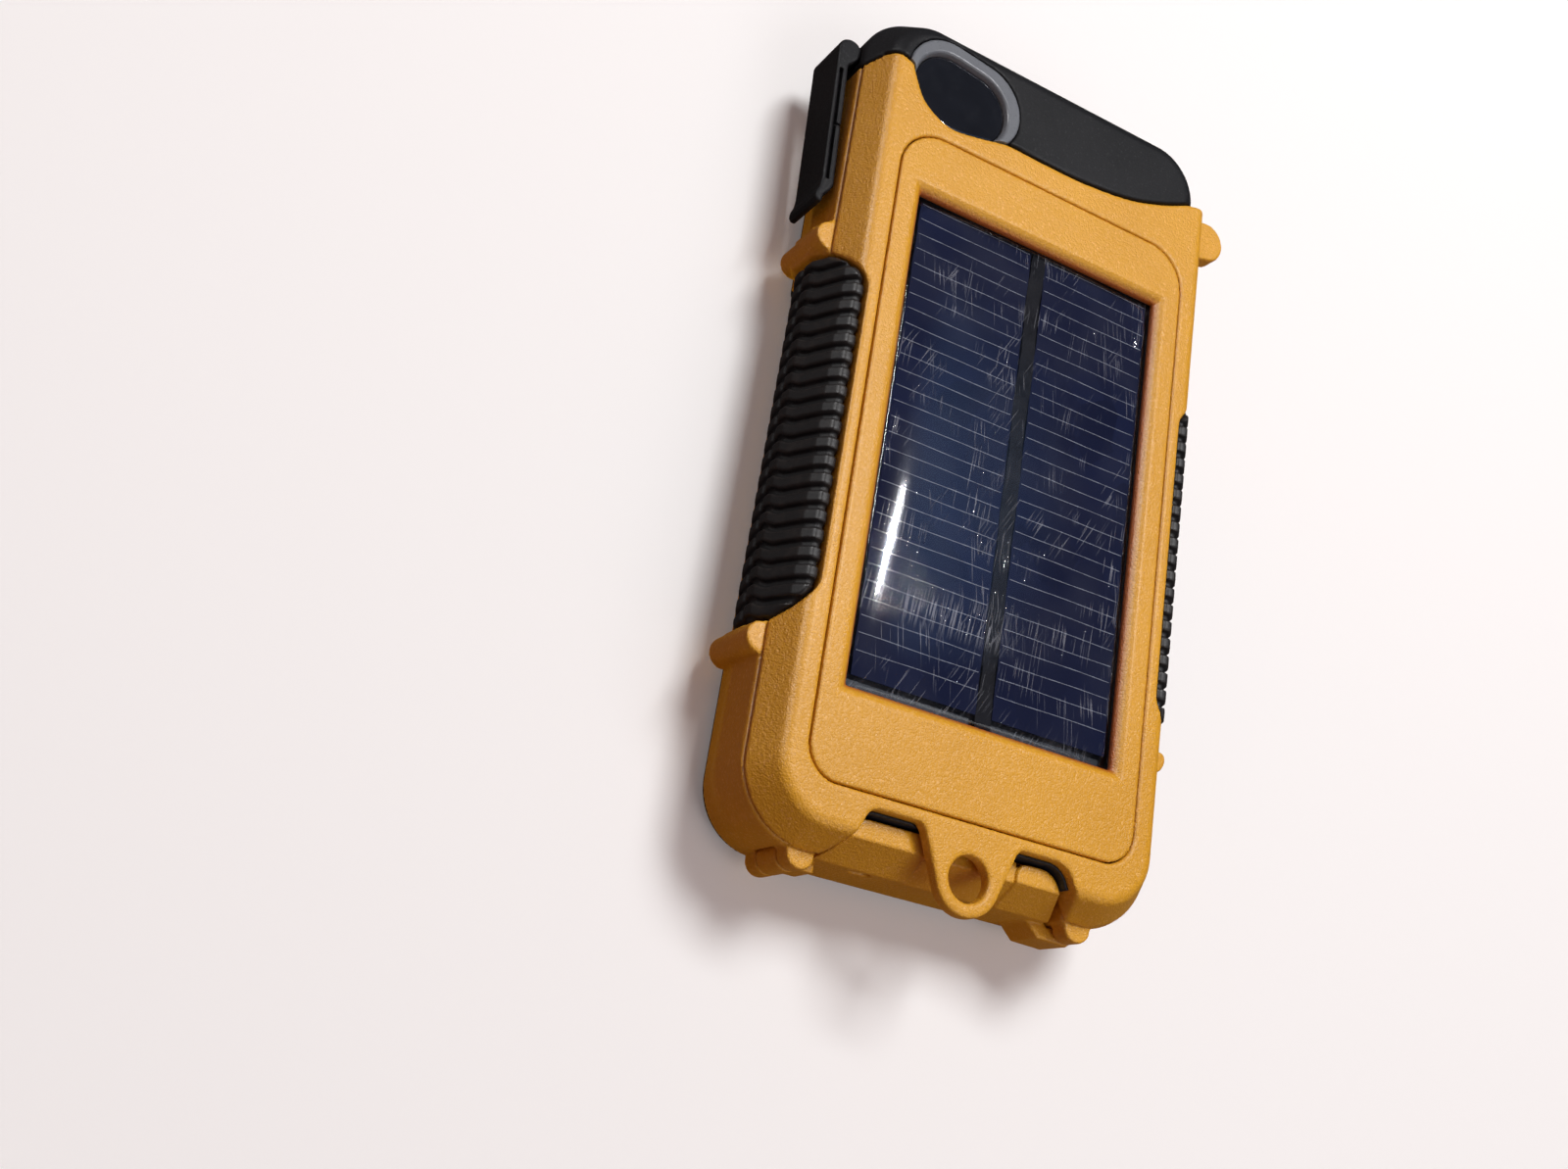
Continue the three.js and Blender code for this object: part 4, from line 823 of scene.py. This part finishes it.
def solar_fingers():
    """Printed silver lines across both half cells, each slightly uneven."""
    rng = np.random.default_rng(7)
    for name in ("left", "right"):
        x0, x1 = CELLS[name][0] + 0.3, CELLS[name][1] - 0.3
        points, faces = [], []
        for y in np.arange(FINGERS["first"], FINGERS["last"], FINGERS["pitch"]):
            xs = np.linspace(x0, x1, 25)
            drift = y + rng.normal(0, 0.05) + 0.05 * np.sin(xs * 0.35 + rng.uniform(0, 6))
            width = FINGERS["width"] * (1 + 0.15 * np.sin(xs * 1.3 + rng.uniform(0, 6))) / 2
            line, quads = ribbon(list(zip(xs, drift - width)), list(zip(xs, drift + width)), CELL_TOP,
                                 CELL_TOP + FINGERS["height"])
            faces += [tuple(i + len(points) for i in quad) for quad in quads]
            points += line
        make_piece("solar_fingers_" + name, points, faces, SILVER, smooth=False)


def solar_busbar():
    """The black tape between the half cells, hand-laid and so a little wavy."""
    ys = np.linspace(BUSBAR["bottom"], BUSBAR["top"], 60)
    left = BUSBAR["left"] + 0.15 * np.sin(ys * 0.35) + 0.05 * np.sin(ys * 1.4 + 1)
    right = BUSBAR["right"] + 0.15 * np.sin(ys * 0.31 + 2) + 0.05 * np.sin(ys * 1.7)
    points, faces = ribbon(list(zip(right, ys)), list(zip(left, ys)), CELLS["thick"][0],
                           CELL_TOP + FINGERS["height"])
    make_piece("solar_busbar_tape", points, faces, TAPE, "solar_busbar", smooth=False)


# ---- Materials ----


class Nodes:
    """A small wrapper round a node tree."""

    def __init__(self, tree):
        self.tree = tree

    def add(self, kind, inputs=None, **settings):
        """A new shader node, fed and set; gives back its outputs."""
        node = self.tree.nodes.new("ShaderNode" + kind)
        for key, value in settings.items():
            setattr(node, key, value)
        for key, value in (inputs or {}).items():
            self.feed(node.inputs[key], value)
        return node.outputs

    def feed(self, socket, value):
        """Links a node's output to the socket, or sets the socket to a number, a vector or a colour."""
        if isinstance(value, bpy.types.NodeSocket):
            self.tree.links.new(value, socket)
        elif socket.type == "RGBA":
            socket.default_value = (*value, 1.0)
        else:
            socket.default_value = value

    def math(self, operation, a, b=0.0, clamp=False):
        return self.add("Math", {0: a, 1: b}, operation=operation, use_clamp=clamp)[0]

    def times(self, a, b, clamp=False):
        return self.math("MULTIPLY", a, b, clamp)

    def ramp(self, value, low, high, to_low=0.0, to_high=1.0):
        inputs = {0: value, 1: low, 2: high, 3: to_low, 4: to_high}
        return self.add("MapRange", inputs)[0]

    def mix(self, factor, a, b):
        return self.add("Mix", {0: factor, 6: a, 7: b}, data_type="RGBA")[2]

    def tint(self, colour, mask, amount, other):
        """The colour, turned towards another by an amount where the mask is 1."""
        return self.mix(self.times(mask, amount), colour, other)


class Shader(Nodes):
    """A new material's node tree. Positions are in millimetres of the row frame."""

    def __init__(self, name):
        self.material = bpy.data.materials.new(name)
        self.material.use_nodes = True
        SLOT_OF[self.material] = OTHER_SLOTS.get(name, name)
        super().__init__(self.material.node_tree)
        self.tree.nodes.clear()
        self.place = self.scaled((1000,) * 3, self.add("TexCoord")["Object"])

    def scaled(self, factors, place=None):
        inputs = {0: place or self.place, 1: factors}
        return self.add("VectorMath", inputs, operation="MULTIPLY")[0]

    def coordinate(self, axis):
        return self.add("SeparateXYZ", {0: self.place})[axis]

    def noise(self, scale, detail=2.0, place=None):
        inputs = {"Vector": place or self.place, "Scale": scale, "Detail": detail}
        return self.add("TexNoise", inputs)["Fac"]

    def clouds(self, scale, detail=2.0, low=0.0, high=1.0):
        """Noise whose middle range is spread from low to high."""
        return self.ramp(self.noise(scale, detail), 0.3, 0.7, low, high)

    def cells(self, scale):
        return self.add("TexVoronoi", {"Vector": self.place, "Scale": scale})

    def bump(self, height, distance, strength=1.0, normal=None):
        inputs = {"Height": height, "Distance": distance * MM, "Strength": strength}
        if normal:
            inputs["Normal"] = normal
        return self.add("Bump", inputs)[0]

    def surface(self, output):
        return self.add("NewGeometry")[output]

    def edges(self):
        """How worn a place is: high along convex edges, broken up by noise."""
        return self.times(self.ramp(self.surface("Pointiness"), 0.52, 0.6),
                          self.ramp(self.noise(0.9, 3), 0.35, 0.7))

    def clear(self, colour=(1, 1, 1)):
        return self.add("BsdfTransparent", {"Color": colour})[0]

    def blend(self, factor, a, b):
        return self.add("MixShader", {0: factor, 1: a, 2: b})[0]

    def done(self, shader):
        self.add("OutputMaterial", {"Surface": shader})
        return self.material

    def principled(self, colour, roughness, normal=None, **more):
        inputs = {"Base Color": colour, "Roughness": roughness,
                  **{key.replace("_", " "): value for key, value in more.items()}}
        if normal:
            inputs["Normal"] = normal
        return self.add("BsdfPrincipled", inputs)[0]

    def skin(self, *look, **more):
        """The finished material of one principled skin."""
        return self.done(self.principled(*look, **more))


AMBER_LIGHT = (0.72, 0.365, 0.018)
AMBER_DEEP = (0.66, 0.325, 0.012)
# pale colour of the painted glints
AMBER_PAINTED_GLINT = (1.0, 0.60, 0.20)
# deep orange painted as shade on the window walls
AMBER_PAINTED_SHADE = (0.40, 0.10, 0.006)
AMBER_WORN = (0.95, 0.55, 0.20)


def amber_plastic(name="amber_plastic", painted_shade_below=None):
    """Spark-eroded amber plastic: leather-like grain, facets with painted glints, rubbed edges and faint
    marks.

    Below a given height it turns deep orange, as painted shade on the walls of a narrow opening.
    """
    s = Shader(name)
    grain, facets = s.noise(1.9, 4), s.cells(3.4)
    colour = s.mix(s.clouds(0.06, 3), AMBER_DEEP, AMBER_LIGHT)
    # painted glints: the brightest facet cells are tinted pale, standing in for sparkle
    colour = s.tint(colour, s.ramp(facets["Color"], 0.72, 1.0), 0.5, AMBER_PAINTED_GLINT)
    colour = s.tint(colour, s.edges(), 0.2, AMBER_WORN)
    if painted_shade_below:
        # painted shade: deep orange below the given height, for the shade down the window walls
        colour = s.mix(s.ramp(s.coordinate("Z"), painted_shade_below, painted_shade_below - 0.7), colour, AMBER_PAINTED_SHADE)
    marks = s.ramp(s.noise(1.0, 2, s.scaled((2.6, 0.22, 1))), 0.68, 0.74)
    roughness = s.math("SUBTRACT", s.ramp(grain, 0.3, 0.7, 0.36, 0.52), s.times(marks, 0.1))
    height = s.math("ADD", grain, s.times(facets["Distance"], -0.5))
    return s.skin(colour, roughness, s.bump(height, 0.12, 0.9), Coat_Weight=0.15, Coat_Roughness=0.3)


def black_plastic():
    """Fine matt black moulding with grey flecks painted as glints, and polished edges."""
    s = Shader("black_plastic")
    grain = s.noise(3.4, 4)
    colour = s.mix(s.clouds(0.08, 3), (0.007, 0.0075, 0.009), (0.013, 0.0135, 0.016))
    # painted glints: grey flecks in the colour stand in for sparkle
    colour = s.tint(colour, s.ramp(s.cells(3.8)["Color"], 0.8, 1.0), 0.3, (0.07, 0.072, 0.08))
    colour = s.tint(colour, s.edges(), 0.3, (0.05, 0.05, 0.055))
    return s.skin(colour, s.ramp(grain, 0.3, 0.7, 0.42, 0.6), s.bump(grain, 0.05, 0.7),
                  Specular_IOR_Level=0.2)


def grip_rubber():
    """Warm black rubber: satin, dusty in places, rubbed shiny on the rib tops, and lighter there as painted
    sheen.
    """
    s = Shader("grip_rubber")
    top = s.ramp(s.surface("Pointiness"), 0.49, 0.56)
    dust = s.ramp(s.noise(0.5, 4), 0.5, 0.8)
    # painted sheen: the rib tops are lighter in colour as well as smoother
    colour = s.mix(top, (0.008, 0.007, 0.008), (0.024, 0.021, 0.020))
    colour = s.tint(colour, dust, 0.12, (0.16, 0.14, 0.12))
    return s.skin(colour, s.ramp(top, 0, 1, 0.6, 0.3), s.bump(s.noise(4, 4), 0.03, 0.6))


def seal_rubber():
    s = Shader("seal_rubber")
    colour = s.mix(s.noise(1.2, 3), (0.010, 0.012, 0.018), (0.022, 0.026, 0.038))
    return s.skin(colour, s.clouds(2.5, 2.0, 0.45, 0.65), s.bump(s.noise(5, 3), 0.02))


def ring_plastic():
    """Satin grey-blue trim with fine wear."""
    s = Shader("ring_plastic")
    colour = s.mix(s.noise(0.4, 3), (0.12, 0.135, 0.16), (0.16, 0.18, 0.205))
    colour = s.tint(colour, s.edges(), 0.5, (0.35, 0.38, 0.42))
    return s.skin(colour, s.clouds(3, 3, 0.25, 0.4), s.bump(s.noise(5, 3), 0.01, 0.5))


def camera_glass():
    """Dark tinted window with faint smudges in its gloss."""
    s = Shader("camera_glass")
    smudge = s.ramp(s.noise(0.35, 4), 0.45, 0.7, 0.05, 0.16)
    colour = s.mix(s.noise(0.2, 2), (0.006, 0.007, 0.010), (0.012, 0.014, 0.020))
    return s.skin(colour, smudge, None, Coat_Weight=0.6, Coat_Roughness=0.04)


RUB = {"y": -28, "half": 4, "right": 3}


def scratches(s, turn, density, seed, where=None):
    """Fine straight scratches: stretched noise, kept where it peaks, in a given area or in patches."""
    inputs = {"Vector": s.place, "Angle": math.radians(turn), "Center": (seed, 0, 0)}
    place = s.add("VectorRotate", inputs, rotation_type="Z_AXIS")[0]
    lines = s.noise(1.0, 0, s.scaled((5.0, 0.14, 0.1), place))
    area = where or s.ramp(s.noise(0.09, 2, place), 0.52, 0.66)
    return s.times(s.ramp(lines, density, density + 0.025), area)


def rubbed_band(s):
    """1 in the rubbed band low on the left cell, 0 elsewhere."""
    x, y = s.coordinate("X"), s.coordinate("Y")
    off_middle = s.math("ABSOLUTE", s.math("SUBTRACT", y, RUB["y"]))
    across = s.ramp(x, RUB["right"], RUB["right"] - 5)
    return s.times(s.ramp(off_middle, RUB["half"], 1), across)


def solar_epoxy():
    """Clear cast epoxy: lets light through, mirrors at its skin, with scratches, haze and dust."""
    s = Shader("solar_epoxy")
    marks = scratches(s, 6, 0.57, 11, rubbed_band(s))
    for turn, density, seed, strength in ((4, 0.68, 3, 1), (28, 0.70, 40, 0.8), (-9, 0.69, 77, 0.9)):
        marks = s.math("MAXIMUM", marks, s.times(scratches(s, turn, density, seed), strength))
    dust = s.times(s.ramp(s.cells(1.6)["Distance"], 0.07, 0.04), s.ramp(s.noise(0.07, 3), 0.5, 0.62))
    haze = s.times(s.ramp(s.noise(0.11, 5), 0.45, 0.8), 0.018)
    milk = s.math("ADD", haze, s.math("MAXIMUM", s.times(marks, 0.28), s.times(dust, 0.4)))
    upward = s.add("SeparateXYZ", {0: s.surface("Normal")})["Z"]
    milk = s.times(milk, s.ramp(upward, 0.85, 0.95), clamp=True)
    ripple = s.bump(marks, 0.02, 0.6, s.bump(s.noise(0.12, 2), 0.25, 0.1))
    gloss = s.add("BsdfGlossy", {"Roughness": 0.045, "Normal": ripple})[0]
    white = s.add("BsdfDiffuse", {"Color": (0.55, 0.6, 0.7)})[0]
    fresnel = s.add("Fresnel", {"IOR": 1.5, "Normal": ripple})[0]
    front = s.math("SUBTRACT", 1.0, s.surface("Backfacing"))
    body = s.blend(milk, s.clear((0.92, 0.94, 0.97)), white)
    return s.done(s.blend(s.times(fresnel, front), body, gloss))


def solar_silicon():
    """Navy polycrystalline silicon with faint crystal flakes."""
    s = Shader("solar_silicon")
    colour = s.mix(s.ramp(s.cells(0.16)["Color"], 0, 1), (0.004, 0.0065, 0.028), (0.008, 0.013, 0.048))
    colour = s.mix(s.ramp(s.noise(0.05, 2), 0.35, 0.65), colour, (0.010, 0.013, 0.038))
    return s.skin(colour, 0.5, s.bump(s.noise(3, 2), 0.01, 0.4), Specular_IOR_Level=0.03)


def plain_material(name, dark, light, rough, scale=2.0, relief=0.02, **more):
    """A moulded or metal finish: two close tones mixed by noise, uneven gloss and fine relief."""
    s = Shader(name)
    colour = s.mix(s.clouds(scale * 0.3, 4), dark, light)
    colour = s.tint(colour, s.edges(), 0.3, [min(1, c * 1.6) for c in light])
    return s.skin(colour, s.clouds(scale, 3, rough * 0.8, rough * 1.2),
                  s.bump(s.noise(scale * 2, 3), relief, 0.6), **more)


def screen_film():
    """The clear touch film over the handset's screen."""
    s = Shader("screen_film")
    smudge = s.ramp(s.noise(0.25, 4), 0.45, 0.75, 0.08, 0.25)
    gloss = s.principled((0.25, 0.27, 0.3), smudge, s.bump(s.noise(0.4, 2), 0.05, 0.3))
    return s.done(s.blend(0.45, s.clear((0.8, 0.83, 0.86)), gloss))


def circuit_board():
    """Green solder mask with tracks and vias."""
    s = Shader("circuit_board")
    tracks = s.ramp(s.math("SINE", s.times(s.noise(0.5, 0), 60)), 0.55, 0.75)
    colour = s.mix(s.times(tracks, 0.5), (0.006, 0.07, 0.03), (0.02, 0.14, 0.06))
    colour = s.mix(s.ramp(s.cells(0.55)["Distance"], 0.16, 0.12), colour, (0.7, 0.55, 0.25))
    return s.skin(colour, 0.35, s.bump(tracks, 0.03))


AMBER = amber_plastic()
# the bezel plate's copy of the amber, with painted shade low on its window walls
AMBER_PLATE_PAINTED_SHADE = amber_plastic("amber_plate_painted_shade", painted_shade_below=21.6)
BLACK = black_plastic()
RUBBER = grip_rubber()
SEAL = seal_rubber()
RING_GREY = ring_plastic()
LENS_GLASS = camera_glass()
EPOXY = solar_epoxy()
SILICON = solar_silicon()
SILVER = plain_material("finger_silver", (0.15, 0.17, 0.22), (0.23, 0.26, 0.32), 0.5, 1.5,
                        Specular_IOR_Level=0.05)
TAPE = plain_material("black_tape", (0.004, 0.004, 0.006), (0.010, 0.010, 0.013), 0.5, 0.8, 0.05,
                      Specular_IOR_Level=0.06)
STEEL = plain_material("brushed_steel", (0.45, 0.46, 0.48), (0.60, 0.61, 0.63), 0.3, 3.0, Metallic=1.0)
HIDDEN_FINISHES = (
    plain_material("dark_parts", (0.008, 0.008, 0.010), (0.020, 0.020, 0.023), 0.5),
    plain_material("battery_foil", (0.45, 0.47, 0.50), (0.58, 0.60, 0.62), 0.35, 0.4, 0.15, Metallic=0.9),
    plain_material("clear_plastic", (0.75, 0.78, 0.78), (0.85, 0.88, 0.88), 0.15, 1.0,
                   Transmission_Weight=0.5),
    plain_material("red_wire", (0.30, 0.012, 0.012), (0.40, 0.02, 0.02), 0.45),
    plain_material("black_wire", (0.01, 0.01, 0.01), (0.02, 0.02, 0.02), 0.45),
    circuit_board(), screen_film(),
)
CAD_FINISHES = {SLOT_OF[material]: material for material in (
    AMBER, BLACK, RUBBER, SEAL, RING_GREY, LENS_GLASS, EPOXY, SILICON, STEEL, *HIDDEN_FINISHES)}


def finish_cad_nodes():
    """Gives every CAD node its procedural material and a small bevel that catches light."""
    for part in frame["record"]["subparts"]:
        node = frame["nodes"][part["node"]]
        node.data.materials.clear()
        node.data.materials.append(CAD_FINISHES[part["material_slot"]])
        bevel = node.modifiers.new("edge", "BEVEL")
        bevel.width, bevel.segments, bevel.limit_method = 0.12 * MM, 2, "ANGLE"


# ---- Assembly ----

for build in (finish_cad_nodes, back_shell, solar_bezel, solar_cover, solar_cells, solar_fingers,
              solar_busbar, front_shell, front_bezel, grips, top_lid, camera_ring, camera_window,
              latch_lever, port_door, port_gasket, home_button, check_button, power_button):
    build()
volume_button("volume_up_button", VOLUME_Y[0])
volume_button("volume_down_button", VOLUME_Y[1])
hinge_pin("lid_hinge_pin", LID_PIN, 3.8, 15.4)
hinge_pin("door_hinge_pin", DOOR_PIN, 3.8, 15.4)
hinge_pin("latch_pin", LATCH_PIN, 6.5, 14.1)
for number, (screw_x, screw_y) in enumerate(SCREWS, 1):
    tray_screw(f"tray_screw_{number}", screw_x, screw_y)

# ---- Floor, light and camera, in metres ----

CAMERA = {
    "from": (-0.1287, -0.1094, 0.215),
    "right": (0.8632, 0.1565, 0.4801),
    "up": (-0.2996, 0.9240, 0.2375),
    "lens": 38.29,
}
FLOOR_SEEN = (0.84, 0.865, 0.89)
FLOOR_IN_MIRRORS = (0.08, 0.08, 0.085)
FLOOR_BOUNCE = (0.22, 0.10, 0.06)
FLOOR_LIFT = {"from": 350, "to": 1700, "low": 0.10, "high": 0.85}
SKY_SEEN = (0.92, 0.92, 0.92)
SKY_LIGHT = (0.20, 0.115, 0.10)
SKY_IN_MIRRORS = (0.04, 0.045, 0.06)
SKY_PATCH = {"towards": (0.42, 0.40, 0.815), "edge": 0.988, "colour": (0.38, 0.62, 1.1)}
GLINT = {"at": Vector((-0.0195, -0.009, 0.022)), "away": 0.9}


def pale_floor():
    """A wide plain floor: pale to the camera and paler far off, dark in mirrors and in what it throws back.

    It is clear from below, and casts no shadow.
    """
    s = Shader("pale_floor")
    path = s.add("LightPath")
    seen = path["Is Camera Ray"]
    hidden = s.mix(path["Is Glossy Ray"], FLOOR_BOUNCE, FLOOR_IN_MIRRORS)
    matt = s.add("BsdfDiffuse", {"Color": s.mix(seen, hidden, FLOOR_SEEN)})[0]
    away = s.add("VectorMath", {0: s.place}, operation="LENGTH")["Value"]
    lift = s.times(seen, s.ramp(away, *FLOOR_LIFT.values()))
    glow = s.add("Emission", {"Strength": lift})[0]
    sheet = s.add("AddShader", {0: matt, 1: glow})[0]
    gone = s.math("MAXIMUM", s.surface("Backfacing"), path["Is Shadow Ray"])
    material = s.done(s.blend(gone, sheet, s.clear()))
    bpy.ops.mesh.primitive_plane_add(size=12, location=(0, 0, CAD_BOX[0].z - 0.0002))
    floor = bpy.context.object
    floor.name = "pale_floor"
    floor.data.materials.append(material)


def area_light(name, place, size, power, colour=(1, 1, 1), target=(0, 0, 0.02)):
    data = bpy.data.lights.new(name, "AREA")
    data.shape = "RECTANGLE"
    data.size, data.size_y = size
    data.energy = power
    data.color = colour
    lamp = bpy.data.objects.new(name, data)
    lamp.location = place
    lamp.visible_camera = False
    lamp.rotation_euler = (Vector(target) - Vector(place)).to_track_quat("-Z", "Y").to_euler()
    bpy.context.scene.collection.objects.link(lamp)
    return lamp


def glint_light(name, towards, size, power):
    """A small lamp that only glossy skins see: it draws a highlight and hardly lights anything."""
    lamp = area_light(name, GLINT["at"] + Vector(towards) * GLINT["away"], size, power, target=GLINT["at"])
    lamp.data.shape = "ELLIPSE"
    lamp.visible_diffuse = False


def soft_world():
    """The camera sees an even pale sky; it lights dimly, and mirrors see it dark with one bright patch."""
    world = bpy.data.worlds.new("soft_world")
    bpy.context.scene.world = world
    world.use_nodes = True
    s = Nodes(world.node_tree)
    inputs = {0: s.add("TexCoord")["Generated"], 1: SKY_PATCH["towards"]}
    towards = s.add("VectorMath", inputs, operation="DOT_PRODUCT")["Value"]
    patch = s.math("POWER", s.ramp(towards, SKY_PATCH["edge"], 1.0), 1.6)
    mirrored = s.mix(patch, SKY_IN_MIRRORS, SKY_PATCH["colour"])
    path = s.add("LightPath")
    unseen = s.mix(path["Is Glossy Ray"], SKY_LIGHT, mirrored)
    s.feed(s.tree.nodes["Background"].inputs["Color"], s.mix(path["Is Camera Ray"], unseen, SKY_SEEN))


def make_camera():
    data = bpy.data.cameras.new("camera")
    data.sensor_width = 36
    data.lens = CAMERA["lens"]
    data.clip_start, data.clip_end = 0.01, 20
    camera = bpy.data.objects.new("camera", data)
    right, up = Vector(CAMERA["right"]).normalized(), Vector(CAMERA["up"])
    back = right.cross(up).normalized()
    up = back.cross(right)
    turn = Matrix((right, up, back)).transposed().to_4x4()
    camera.matrix_world = Matrix.Translation(Vector(CAMERA["from"]) + Vector(ORIGIN)) @ turn
    bpy.context.scene.collection.objects.link(camera)
    bpy.context.scene.camera = camera


pale_floor()
soft_world()
area_light("key", (0.10, 0.45, 0.85), (0.35, 0.35), 7.8, (1.0, 0.98, 0.95)).visible_glossy = False
area_light("front_fill", (0.35, -0.55, 0.75), (0.6, 0.6), 1.8)
area_light("under_fill", (0, 0, -0.8), (0.5, 0.5), 4, (1, 0.92, 0.85)).visible_glossy = False
glint_light("streak", (0.295, 0.3675, 0.875), (0.018, 0.095), 4)
glint_light("corner_glint", (0.69, 0.545, 0.52), (0.006, 0.009), 0.05)
glint_light("rib_glint", (-0.63, 0.45, 0.63), (0.2, 0.2), 5)
make_camera()
bpy.context.scene.view_settings.view_transform = "Standard"
